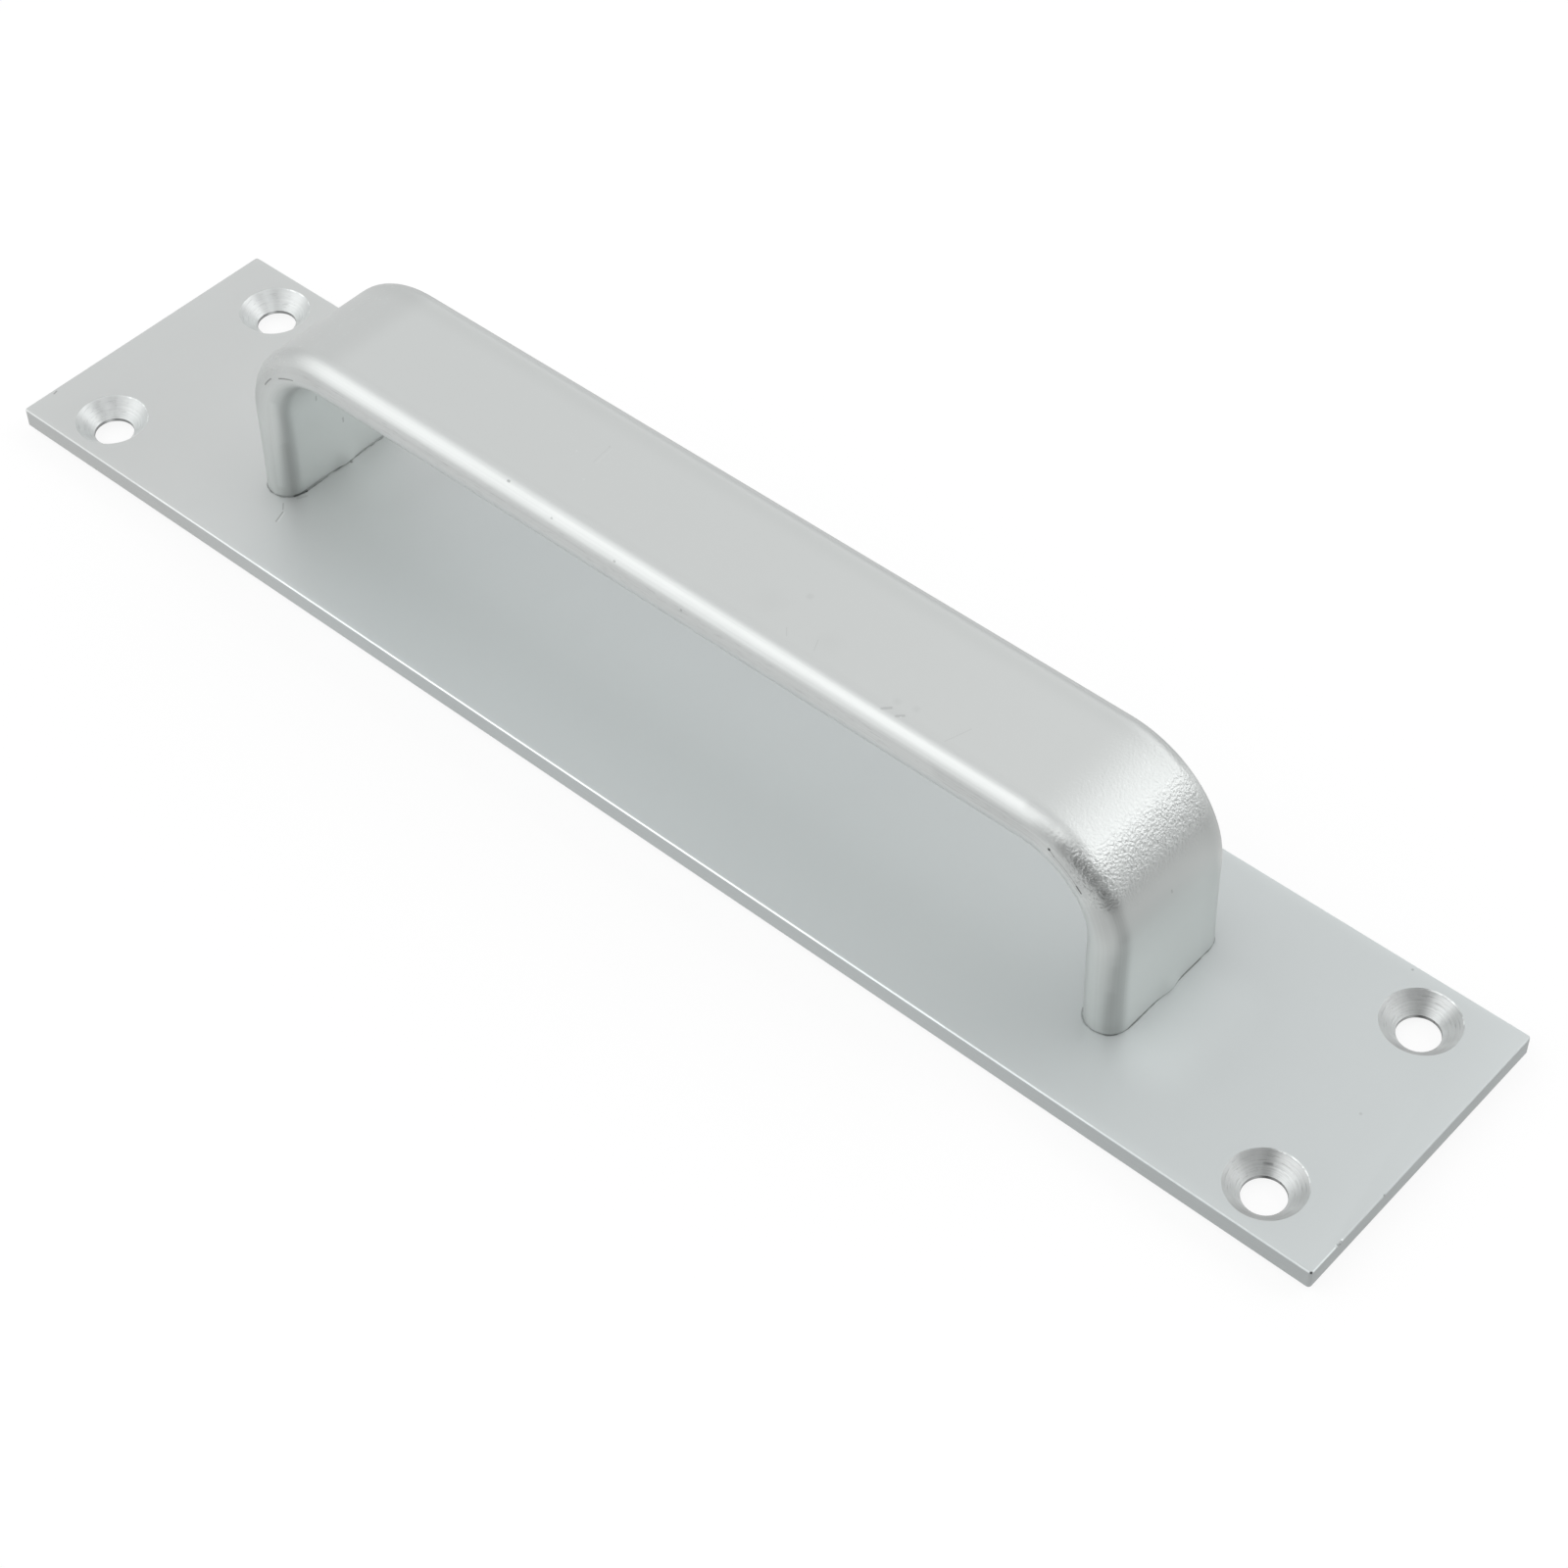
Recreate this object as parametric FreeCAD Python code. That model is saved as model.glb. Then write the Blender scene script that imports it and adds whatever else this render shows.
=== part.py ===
import FreeCAD, Part
import math
import os

# Pull handle on a back plate. Millimetres.
# Origin: centre of the face that lies on the door. +X along the plate, +Z out of the door.

# Driving dimensions of the back plate
plate_reach_past_leg = 36.0
plate_width = 40.0
plate_thickness = 2.5
plate_corner_radius = 0.4
plate_edge_break = 0.2

# Driving dimensions of the four fixing holes
fixing_hole_diameter = 5.0
fixing_hole_land = 0.4
fixing_hole_end_distance = 10.0
fixing_hole_side_distance = 6.0

# Driving dimensions of the bow
bow_pitch = 128.0
bow_height = 26.5
bow_width = 19.8
bow_thickness = 5.4
bow_edge_flat = 0.1
bow_foot_edge_break = 0.2
bow_bend_inner_radius = 8.6

# Driving dimensions of the screws that hold the bow's legs
screw_diameter = 4.0
screw_length = 10.0
screw_head_diameter = 7.5
screw_head_rim = 0.35
screw_head_recess = 0.1
screw_tip_chamfer = 0.5
cross_recess_span = 4.2
cross_recess_slot = 0.8
cross_recess_depth = 2.0
thread_spare_depth = 1.5
thread_mouth_chamfer = 0.3

# Driving dimensions of the adhesive pad
pad_thickness = 1.0
pad_side_margin = 4.0
pad_hole_margin = 5.4
pad_corner_radius = 3.0

# Clearances between mating pieces
screw_seat_gap = 0.05
screw_shank_gap = 0.2
thread_gap = 0.03

# Angles
countersink_half_angle = 45.0
drill_point_half_angle = 59.0

# The plate runs past both legs by the same reach
plate_length = bow_pitch + 2 * plate_reach_past_leg

# Levels above the door, from the pad upwards
plate_back_z = pad_thickness
plate_front_z = plate_back_z + plate_thickness

X_AXIS = FreeCAD.Vector(1, 0, 0)
Y_AXIS = FreeCAD.Vector(0, 1, 0)
Z_AXIS = FreeCAD.Vector(0, 0, 1)


def point(x, y, z):
    return FreeCAD.Vector(x, y, z)


def turned(profile_points):
    """Solid of revolution about Z from a closed list of (radius, height) points."""
    corners = [point(radius, 0, height) for radius, height in profile_points]
    wire = Part.makePolygon(corners + corners[:1])
    return Part.Face(wire).revolve(point(0, 0, 0), Z_AXIS, 360)


def cone_height(radius_change, half_angle):
    return radius_change / math.tan(math.radians(half_angle))


def quarter_arc(centre, radius, start_degrees):
    """Start, middle and end of a quarter circle in the XY plane."""
    angles = [math.radians(start_degrees + step) for step in (0, 45, 90)]
    return [centre + point(radius * math.cos(angle), radius * math.sin(angle), 0) for angle in angles]


def rounded_rectangle(length, width, radius):
    """Closed wire in the XY plane, centred on the origin, with tangent corner arcs."""
    inner_x = length / 2 - radius
    inner_y = width / 2 - radius
    corners = [
        (inner_x, -inner_y, 270),
        (inner_x, inner_y, 0),
        (-inner_x, inner_y, 90),
        (-inner_x, -inner_y, 180),
    ]
    arcs = [quarter_arc(point(x, y, 0), radius, start) for x, y, start in corners]
    edges = []
    for arc, following in zip(arcs, arcs[1:] + arcs[:1]):
        edges.append(Part.Arc(*arc).toShape())
        edges.append(Part.LineSegment(arc[-1], following[0]).toShape())
    return Part.Wire(edges)


def fixing_hole_centres():
    x = plate_length / 2 - fixing_hole_end_distance
    y = plate_width / 2 - fixing_hole_side_distance
    return [point(sx * x, sy * y, 0) for sx in (-1, 1) for sy in (-1, 1)]


def leg_centres():
    return [point(side * bow_pitch / 2, 0, 0) for side in (-1, 1)]


def countersink_radius():
    """Radius of a fixing hole's countersink where it meets the front face."""
    depth = plate_thickness - fixing_hole_land
    return fixing_hole_diameter / 2 + depth * math.tan(math.radians(countersink_half_angle))


def fixing_hole_cutter():
    hole_radius = fixing_hole_diameter / 2
    land_top = plate_back_z + fixing_hole_land
    return turned([
        (0, plate_back_z),
        (hole_radius, plate_back_z),
        (hole_radius, land_top),
        (countersink_radius(), plate_front_z),
        (0, plate_front_z),
    ])


def screw_levels():
    """Heights of the screw's head face, rim, shank start and tip."""
    head_face = plate_back_z + screw_head_recess
    rim_top = head_face + screw_head_rim
    head_taper = (screw_head_diameter - screw_diameter) / 2
    shank_start = rim_top + cone_height(head_taper, countersink_half_angle)
    tip = head_face + screw_length
    return head_face, rim_top, shank_start, tip


def screw_hole_cutter():
    """Countersunk clearance hole through the plate for one leg screw, head towards the door."""
    _, rim_top, shank_start, _ = screw_levels()
    head_radius = screw_head_diameter / 2 + screw_seat_gap
    hole_radius = screw_diameter / 2 + screw_shank_gap
    taper_saved = cone_height(screw_shank_gap - screw_seat_gap, countersink_half_angle)
    return turned([
        (0, plate_back_z),
        (head_radius, plate_back_z),
        (head_radius, rim_top),
        (hole_radius, shank_start - taper_saved),
        (hole_radius, plate_front_z),
        (0, plate_front_z),
    ])


def back_plate():
    plate = Part.makeBox(plate_length, plate_width, plate_thickness,
                         point(-plate_length / 2, -plate_width / 2, plate_back_z))
    upright = [edge for edge in plate.Edges if edge.BoundBox.ZLength > plate_thickness / 2]
    plate = plate.makeFillet(plate_corner_radius, upright)
    front_rim = [edge for edge in plate.Edges if edge.BoundBox.ZMin > plate_front_z - plate_edge_break / 2]
    plate = plate.makeFillet(plate_edge_break, front_rim)
    holes = [fixing_hole_cutter().translated(centre) for centre in fixing_hole_centres()]
    holes += [screw_hole_cutter().translated(centre) for centre in leg_centres()]
    return plate.cut(holes)


def bow_path():
    """Centre line of the bow: leg, bend, grip, bend, leg, all tangent."""
    bend_radius = bow_bend_inner_radius + bow_thickness / 2
    side = bow_pitch / 2
    grip_height = bow_height - bow_thickness / 2
    bend_x = side - bend_radius
    bend_height = grip_height - bend_radius
    right_bend = quarter_arc(point(bend_x, bend_height, 0), bend_radius, 0)
    left_bend = quarter_arc(point(-bend_x, bend_height, 0), bend_radius, 90)
    path = Part.Wire([
        Part.LineSegment(point(side, 0, 0), right_bend[0]).toShape(),
        Part.Arc(*right_bend).toShape(),
        Part.LineSegment(right_bend[-1], left_bend[0]).toShape(),
        Part.Arc(*left_bend).toShape(),
        Part.LineSegment(left_bend[-1], point(-side, 0, 0)).toShape(),
    ])
    path.rotate(point(0, 0, 0), X_AXIS, 90)
    path.translate(Z_AXIS * plate_front_z)
    return path


def tapped_hole_cutter():
    """Blind hole up into a leg, as deep as the screw reaches plus the spare thread."""
    _, _, _, tip = screw_levels()
    radius = screw_diameter / 2 + thread_gap
    full_depth = tip + thread_spare_depth
    return turned([
        (0, plate_front_z),
        (radius + thread_mouth_chamfer, plate_front_z),
        (radius, plate_front_z + thread_mouth_chamfer),
        (radius, full_depth),
        (0, full_depth + cone_height(radius, drill_point_half_angle)),
    ])


def bow_handle():
    nose_radius = (bow_thickness - bow_edge_flat) / 2
    foot = rounded_rectangle(bow_thickness, bow_width, nose_radius)
    foot.translate(point(bow_pitch / 2, 0, plate_front_z))
    make_solid, keep_upright = True, True
    bow = bow_path().makePipeShell([foot], make_solid, keep_upright)
    foot_rims = [edge for edge in bow.Edges if edge.BoundBox.ZMax < plate_front_z + bow_foot_edge_break / 2]
    bow = bow.makeChamfer(bow_foot_edge_break, foot_rims)
    return bow.cut([tapped_hole_cutter().translated(centre) for centre in leg_centres()])


def cross_recess():
    """Cross-shaped driver recess that narrows towards its floor."""
    head_face, _, _, _ = screw_levels()
    half_span = cross_recess_span / 2
    half_floor = cross_recess_slot / 2
    outline = Part.makePolygon([
        point(-half_span, -cross_recess_slot / 2, head_face),
        point(half_span, -cross_recess_slot / 2, head_face),
        point(half_floor, -cross_recess_slot / 2, head_face + cross_recess_depth),
        point(-half_floor, -cross_recess_slot / 2, head_face + cross_recess_depth),
        point(-half_span, -cross_recess_slot / 2, head_face),
    ])
    slot = Part.Face(outline).extrude(Y_AXIS * cross_recess_slot)
    return slot.fuse(slot.rotated(point(0, 0, 0), Z_AXIS, 90))


def leg_screw():
    """Countersunk machine screw, drawn at its thread's outer diameter."""
    head_face, rim_top, shank_start, tip = screw_levels()
    radius = screw_diameter / 2
    body = turned([
        (0, head_face),
        (screw_head_diameter / 2, head_face),
        (screw_head_diameter / 2, rim_top),
        (radius, shank_start),
        (radius, tip - screw_tip_chamfer),
        (radius - screw_tip_chamfer, tip),
        (0, tip),
    ])
    return body.cut(cross_recess())


def leg_screws():
    return Part.makeCompound([leg_screw().translated(centre) for centre in leg_centres()])


def adhesive_pad():
    """Die-cut foam tape on the plate's back, between the two pairs of fixing holes."""
    hole_x = plate_length / 2 - fixing_hole_end_distance
    pad_length = 2 * (hole_x - countersink_radius() - pad_hole_margin)
    pad_width = plate_width - 2 * pad_side_margin
    outline = rounded_rectangle(pad_length, pad_width, pad_corner_radius)
    return Part.Face(outline).extrude(Z_AXIS * pad_thickness)


NODES = {
    "back_plate": back_plate,
    "bow_handle": bow_handle,
    "leg_screws": leg_screws,
    "adhesive_pad": adhesive_pad,
}

os.makedirs("parts", exist_ok=True)
for name, make in NODES.items():
    shape = make()
    print(name, "solids", len(shape.Solids), "valid", shape.isValid(),
          "volume", round(shape.Volume, 2))
    shape.exportStep("parts/" + name + ".step")
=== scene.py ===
# %% [markdown]
# # A pull handle on its back plate
# The object is an aluminium pull handle: a flat bar with rounded edges, bent into a bow, stands
# on a thin rectangular plate with four countersunk holes. Two screws come up through the plate
# into the bow's legs, and a strip of foam tape under the plate sticks it to a door.
# The solid model is loaded first as a fixed frame. Everything after it is measured from there,
# in metres, so nothing has to be fitted by eye.

# %% Load the solid model
import math
import random
import bpy
import bmesh
from mathutils import Euler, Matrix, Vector


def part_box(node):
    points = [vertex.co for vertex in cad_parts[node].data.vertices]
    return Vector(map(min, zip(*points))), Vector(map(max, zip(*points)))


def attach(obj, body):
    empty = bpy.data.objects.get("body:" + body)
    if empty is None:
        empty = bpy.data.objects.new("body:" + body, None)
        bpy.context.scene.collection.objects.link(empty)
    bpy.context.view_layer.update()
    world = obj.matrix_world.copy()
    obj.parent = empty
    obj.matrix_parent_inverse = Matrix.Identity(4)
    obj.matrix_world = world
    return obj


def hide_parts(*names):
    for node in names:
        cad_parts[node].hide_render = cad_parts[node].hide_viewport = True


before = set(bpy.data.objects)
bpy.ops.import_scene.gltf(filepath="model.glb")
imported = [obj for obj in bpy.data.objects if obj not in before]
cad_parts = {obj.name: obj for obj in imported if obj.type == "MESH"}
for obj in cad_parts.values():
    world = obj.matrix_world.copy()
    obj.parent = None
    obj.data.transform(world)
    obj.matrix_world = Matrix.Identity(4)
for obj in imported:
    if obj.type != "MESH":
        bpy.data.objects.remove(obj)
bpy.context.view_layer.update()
mm = 0.001
bow_low, bow_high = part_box("bow_handle")
plate_low, plate_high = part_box("back_plate")
screws_low, screws_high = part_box("leg_screws")
pad_low, pad_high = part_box("adhesive_pad")

# %% [markdown]
# ## The camera
# The photograph looks down on the handle from the right-hand end, with straight edges running
# across the whole picture. The lens and the camera's place were worked out from the corners of
# the plate and the ends of the bow, so the scene only needs the numbers.

# %% Place the camera
camera_data = bpy.data.cameras.new("photo_camera")
camera_data.sensor_width = 36.0
camera_data.lens = 77.56
camera_data.clip_start = 0.01
camera_data.clip_end = 50.0
camera = bpy.data.objects.new("photo_camera", camera_data)
camera.location = (0.189884, -0.195913, 0.288957)
camera.rotation_euler = Euler([math.radians(a) for a in (42.1469, 0.7404, 41.5288)])
bpy.context.scene.collection.objects.link(camera)
bpy.context.scene.camera = camera
bpy.context.scene.view_settings.view_transform = "Standard"
print("camera", camera_data.lens, "mm lens,", round(camera.location.length, 3), "m away")

# %% [markdown]
# ## A short way to write node trees
# Every material and every shape rule below is a node tree. Two small helpers keep them readable:
# `place` adds a node and plugs in its inputs, and a `Field` is one output socket that can be
# added, multiplied or compared like a number. The same helpers serve shapes and materials.


# %% Node helpers
class Field:
    """One output socket that formulas can be written with."""

    def __init__(self, tree, socket):
        self.tree = tree
        self.socket = socket

    def maths(self, operation, *others):
        inputs = dict(enumerate((self,) + others))
        return Field(self.tree, place(self.tree, "ShaderNodeMath", inputs, operation=operation).outputs[0])

    def vector(self, operation, *others, output=0):
        inputs = dict(enumerate((self,) + others))
        made = place(self.tree, "ShaderNodeVectorMath", inputs, operation=operation)
        return Field(self.tree, made.outputs[output])

    def __add__(self, other):
        return self.maths("ADD", other)

    def __sub__(self, other):
        return self.maths("SUBTRACT", other)

    def __mul__(self, other):
        return self.maths("MULTIPLY", other)

    def __truediv__(self, other):
        return self.maths("DIVIDE", other)

    def below(self, limit):
        return self.maths("LESS_THAN", limit)

    def above(self, limit):
        return self.maths("GREATER_THAN", limit)

    def smooth(self, start, end):
        """0 at start, 1 at end, with a soft ramp between them."""
        ramp = place(self.tree, "ShaderNodeMapRange", {"Value": self, "From Min": start, "From Max": end},
                     interpolation_type="SMOOTHSTEP")
        return Field(self.tree, ramp.outputs["Result"])

    def between(self, low, high):
        """The value 0 gives low and the value 1 gives high."""
        ramp = place(self.tree, "ShaderNodeMapRange", {"Value": self, "To Min": low, "To Max": high})
        return Field(self.tree, ramp.outputs["Result"])

    def part(self, axis):
        return Field(self.tree, place(self.tree, "ShaderNodeSeparateXYZ", {0: self}).outputs[axis])


def feed(tree, socket, value):
    if isinstance(value, Field):
        value = value.socket
    if isinstance(value, bpy.types.NodeSocket):
        tree.links.new(value, socket)
    else:
        socket.default_value = value


def place(tree, kind, inputs=None, **settings):
    """Adds a node. Inputs are found by name or number."""
    node = tree.nodes.new(kind)
    for name, value in settings.items():
        setattr(node, name, value)
    for key, value in (inputs or {}).items():
        feed(tree, node.inputs[key], value)
    return node


def field(tree, kind, inputs=None, output=0, **settings):
    return Field(tree, place(tree, kind, inputs, **settings).outputs[output])


def xyz(tree, x=0.0, y=0.0, z=0.0):
    return field(tree, "ShaderNodeCombineXYZ", {"X": x, "Y": y, "Z": z})


def new_tree(name, kind, inputs, outputs):
    """A node group with named sockets. Each is (name, socket kind, default value)."""
    tree = bpy.data.node_groups.new(name, kind)
    for in_out, sockets in (("INPUT", inputs), ("OUTPUT", outputs)):
        for socket_name, socket_kind, default in sockets:
            socket = tree.interface.new_socket(socket_name, in_out=in_out, socket_type="NodeSocket" + socket_kind)
            if default is not None:
                socket.default_value = default
    entry = tree.nodes.new("NodeGroupInput")
    given = {name: Field(tree, entry.outputs[name]) for name, _, _ in inputs}
    return tree, given


def group_result(tree, **results):
    leave = tree.nodes.new("NodeGroupOutput")
    for name, value in results.items():
        feed(tree, leave.inputs[name.replace("_", " ")], value)


def arrange(tree):
    """Lays the nodes out in rows so that the tree can be read in the editor."""
    for number, node in enumerate(tree.nodes):
        node.location = ((number % 12) * 190, -(number // 12) * 260)


print("node helpers ready")

# %% [markdown]
# ## Floor and light
# The photograph was cut out on plain white. The metal shows the studio as soft bands: wide light
# from the front left and from behind, and a dim opening towards the front right. A few lamps
# could do it, but lamps have edges that satin metal shows, so the world holds a dozen panels
# that fade out softly, each with its own direction and strength. The floor shines white for what
# looks straight at it, and keeps some white paint so that the handle still drops its shadow.


# %% Floor
def seen_directly(tree):
    """1 for a ray from the camera, a mirror or through glass."""
    rays = place(tree, "ShaderNodeLightPath")
    camera_ray = Field(tree, rays.outputs["Is Camera Ray"])
    glossy_ray = Field(tree, rays.outputs["Is Glossy Ray"])
    through_ray = Field(tree, rays.outputs["Is Transmission Ray"])
    return camera_ray.maths("MAXIMUM", glossy_ray).maths("MAXIMUM", through_ray)


floor_paint_share = 0.15
floor_glow_sideways = 0.91

floor_material = bpy.data.materials.new("floor_white")
floor_material.use_nodes = True
floor_tree = floor_material.node_tree
floor_tree.nodes.clear()
glow = place(floor_tree, "ShaderNodeEmission",
             {"Color": (1, 1, 1, 1), "Strength": seen_directly(floor_tree).between(floor_glow_sideways, 1.0)})
paint = place(floor_tree, "ShaderNodeBsdfDiffuse", {"Color": (0.95, 0.95, 0.95, 1)})
floor_mix = place(floor_tree, "ShaderNodeMixShader", {0: floor_paint_share, 1: glow.outputs[0], 2: paint.outputs[0]})
place(floor_tree, "ShaderNodeOutputMaterial", {"Surface": floor_mix.outputs[0]})
arrange(floor_tree)

floor_half = 8.0
floor_drop = 0.05 * mm
floor_mesh = bpy.data.meshes.new("floor")
floor_corners = [(-1, -1), (1, -1), (1, 1), (-1, 1)]
floor_mesh.from_pydata([(x * floor_half, y * floor_half, -floor_drop) for x, y in floor_corners], [], [(0, 1, 2, 3)])
floor_mesh.materials.append(floor_material)
floor = bpy.data.objects.new("floor", floor_mesh)
bpy.context.scene.collection.objects.link(floor)
print("floor", 2 * floor_half, "m wide")


# %% Studio room
def direction(azimuth, elevation):
    """Azimuth 0 looks towards the front edge of the plate, 90 towards its right end."""
    a, e = math.radians(azimuth), math.radians(elevation)
    return Vector((math.sin(a) * math.cos(e), -math.cos(a) * math.cos(e), math.sin(e)))


panel_tree, given = new_tree("soft_panel", "ShaderNodeTree", [
    ("Look", "Vector", None), ("Towards", "Vector", None), ("Sharpness", "Float", 8.0),
    ("Strength", "Float", 1.0), ("Light So Far", "Float", 0.0)], [("Light", "Float", None)])
facing = given["Look"].vector("DOT_PRODUCT", given["Towards"], output="Value")
fade = ((facing - 1.0) * given["Sharpness"]).maths("EXPONENT")
group_result(panel_tree, Light=fade.maths("MULTIPLY_ADD", given["Strength"], given["Light So Far"]))
arrange(panel_tree)

# Azimuth, elevation, strength and sharpness of each panel
soft_panels = {
    "low_front_left": (-30, 8, 0.80, 10), "low_left": (-60, 8, 0.34, 10), "low_back_left": (-120, 8, 1.11, 10),
    "high_front_left": (-45, 38, 1.18, 10), "high_left": (-75, 38, 0.86, 10), "high_back_left": (-135, 38, 0.28, 10),
    "high_back": (-165, 38, 0.81, 10), "high_back_right": (165, 38, 0.71, 10), "high_right": (135, 38, 1.97, 10),
    "overhead": (0, 66, 2.0, 9)}

world = bpy.data.worlds.new("studio")
bpy.context.scene.world = world
world.use_nodes = True
world.cycles.sampling_method = "NONE"
room = world.node_tree
room.nodes.clear()
look = field(room, "ShaderNodeTexCoord", output="Generated").vector("NORMALIZE")
level = 0.0
for azimuth, elevation, strength, sharpness in soft_panels.values():
    panel = room.nodes.new("ShaderNodeGroup")
    panel.node_tree = panel_tree
    for key, value in (("Look", look), ("Towards", direction(azimuth, elevation)), ("Sharpness", sharpness),
                       ("Strength", strength), ("Light So Far", level)):
        feed(room, panel.inputs[key], value)
    level = Field(room, panel.outputs["Light"])
camera_ray = Field(room, place(room, "ShaderNodeLightPath").outputs["Is Camera Ray"])
room_glow = place(room, "ShaderNodeBackground",
                  {"Color": (1, 1, 1, 1), "Strength": camera_ray * (level * -1.0 + 1.0) + level})
place(room, "ShaderNodeOutputWorld", {"Surface": room_glow.outputs[0]})
arrange(room)
print("studio with", len(soft_panels), "soft panels")

# %% [markdown]
# ## Materials by name
# The shape rules below end by handing each face its material, so the materials are created
# first, empty, and get their nodes once the shapes are there.

# %% Empty materials
material_names = ("bow_aluminium", "plate_aluminium", "countersink_aluminium", "zinc_steel", "foam_tape")
materials = {name: bpy.data.materials.new(name) for name in material_names}
print("materials", ", ".join(materials))


# %% Shape helpers
def new_object(name, mesh):
    made = bpy.data.objects.new(name, mesh)
    bpy.context.scene.collection.objects.link(made)
    return made


def run_tree(shape, tree, **values):
    """Puts the tree on the object, sets its named inputs, and keeps the result as a plain mesh."""
    modifier = shape.modifiers.new(tree.name, "NODES")
    modifier.node_group = tree
    for socket in tree.interface.items_tree:
        key = socket.name.replace(" ", "_")
        if socket.in_out == "INPUT" and key in values:
            modifier[socket.identifier] = values[key]
    view = bpy.context.evaluated_depsgraph_get()
    mesh = bpy.data.meshes.new_from_object(shape.evaluated_get(view), preserve_all_data_layers=True, depsgraph=view)
    shape.modifiers.clear()
    shape.data = mesh
    return shape


def finish_shading(shape, sharp_degrees=30.0):
    mesh = shape.data
    mesh.polygons.foreach_set("use_smooth", [True] * len(mesh.polygons))
    mesh.set_sharp_from_angle(angle=math.radians(sharp_degrees))
    corners = [Vector(v.co) for v in mesh.vertices]
    low = [round(min(c[i] for c in corners) / mm, 2) for i in range(3)]
    high = [round(max(c[i] for c in corners) / mm, 2) for i in range(3)]
    mesh.calc_loop_triangles()
    print(shape.name, "from", low, "to", high, "mm,", len(mesh.loop_triangles), "triangles")


def turned_mesh(name, outline, segments=64):
    """A closed shape turned about Z from (radius, height) points that start and end on the axis."""
    shape = bmesh.new()
    points = [shape.verts.new((radius, 0, height)) for radius, height in outline]
    edges = [shape.edges.new(pair) for pair in zip(points, points[1:])]
    bmesh.ops.spin(shape, geom=points + edges, axis=(0, 0, 1), cent=(0, 0, 0), angle=math.tau,
                   steps=segments, use_duplicate=False)
    bmesh.ops.remove_doubles(shape, verts=shape.verts, dist=1e-6)
    bmesh.ops.recalc_face_normals(shape, faces=shape.faces)
    mesh = bpy.data.meshes.new(name)
    shape.to_mesh(mesh)
    shape.free()
    return mesh


print("shape helpers ready")

# %% [markdown]
# ## The bow
# The real bow starts as an extruded flat bar whose two narrow sides are fully round. It is bent
# twice over a roller, cut to length, and tapped at both feet. A bar that keeps one section along
# a bent line is a sweep, so a tree draws the line, rounds its two corners, and carries the
# rounded section along it. Tapping a hole this close to the faces pushes the metal out a little,
# and that swelling shows at the feet.

# %% The sweep of the bow
bow_tree, given = new_tree("bend_the_bar", "GeometryNodeTree", [
    ("Pitch", "Float", 0.128), ("Foot Height", "Float", 0.0035), ("Top Height", "Float", 0.03),
    ("Bar Width", "Float", 0.0198), ("Bar Thickness", "Float", 0.0054), ("Edge Flat", "Float", 0.0001),
    ("Inner Bend Radius", "Float", 0.0086), ("Foot Edge Break", "Float", 0.0001),
    ("Ring Spacing", "Float", 0.0008), ("Section Spacing", "Float", 0.0004),
    ("Swelling", "Float", 0.00033), ("Swelling Reach", "Float", 0.003), ("Swelling Width", "Float", 0.0014),
    ("Leg Splay", "Float", 0.00028), ("Splay Height", "Float", 0.0125),
    ("Tapped Hole", "Object", None), ("Material", "Material", None)], [("Bow", "Geometry", None)])

half_pitch = given["Pitch"] * 0.5
half_thickness = given["Bar Thickness"] * 0.5
grip_line = given["Top Height"] - half_thickness
number = field(bow_tree, "GeometryNodeInputIndex")
side = number.above(1.5) * 2.0 - 1.0
up = (number - 1.5).maths("ABSOLUTE").below(1.0)
corner_height = given["Foot Height"] + up * (grip_line - given["Foot Height"])
line = field(bow_tree, "GeometryNodeMeshLine", {"Count": 4})
line = field(bow_tree, "GeometryNodeSetPosition",
             {"Geometry": line, "Position": xyz(bow_tree, side * half_pitch, 0.0, corner_height)})
line = field(bow_tree, "GeometryNodeMeshToCurve", {"Mesh": line})
line = field(bow_tree, "GeometryNodeFilletCurve",
             {"Curve": line, "Count": 40, "Radius": given["Inner Bend Radius"] + half_thickness}, mode="POLY")
line = field(bow_tree, "GeometryNodeResampleCurve", {"Curve": line, "Length": given["Ring Spacing"]}, mode="LENGTH")

steps = place(bow_tree, "GeometryNodeSplineParameter")
length = field(bow_tree, "GeometryNodeSplineLength")
from_start = Field(bow_tree, steps.outputs["Length"])
from_end = length - from_start
near_foot = from_start.maths("MINIMUM", from_end)
second_ring = near_foot.above(given["Ring Spacing"] * 0.3) * near_foot.below(given["Ring Spacing"] * 1.5)
here = field(bow_tree, "GeometryNodeInputPosition")
lowered = xyz(bow_tree, here.part("X"), 0.0, given["Foot Height"] + given["Foot Edge Break"])
line = field(bow_tree, "GeometryNodeSetPosition", {"Geometry": line, "Selection": second_ring, "Position": lowered})
keep_line = place(bow_tree, "GeometryNodeCaptureAttribute", {"Geometry": line})
keep_line.capture_items.new("FLOAT", "Along")
feed(bow_tree, keep_line.inputs["Along"], from_start)

section = field(bow_tree, "GeometryNodeCurvePrimitiveQuadrilateral",
                {"Width": given["Bar Thickness"], "Height": given["Bar Width"]})
section = field(bow_tree, "GeometryNodeFilletCurve",
                {"Curve": section, "Count": 24, "Radius": half_thickness - given["Edge Flat"] * 0.5}, mode="POLY")
section = field(bow_tree, "GeometryNodeResampleCurve",
                {"Curve": section, "Length": given["Section Spacing"]}, mode="LENGTH")
keep_section = place(bow_tree, "GeometryNodeCaptureAttribute", {"Geometry": section})
keep_section.capture_items.new("VECTOR", "Across")
feed(bow_tree, keep_section.inputs["Across"], here)

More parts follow.
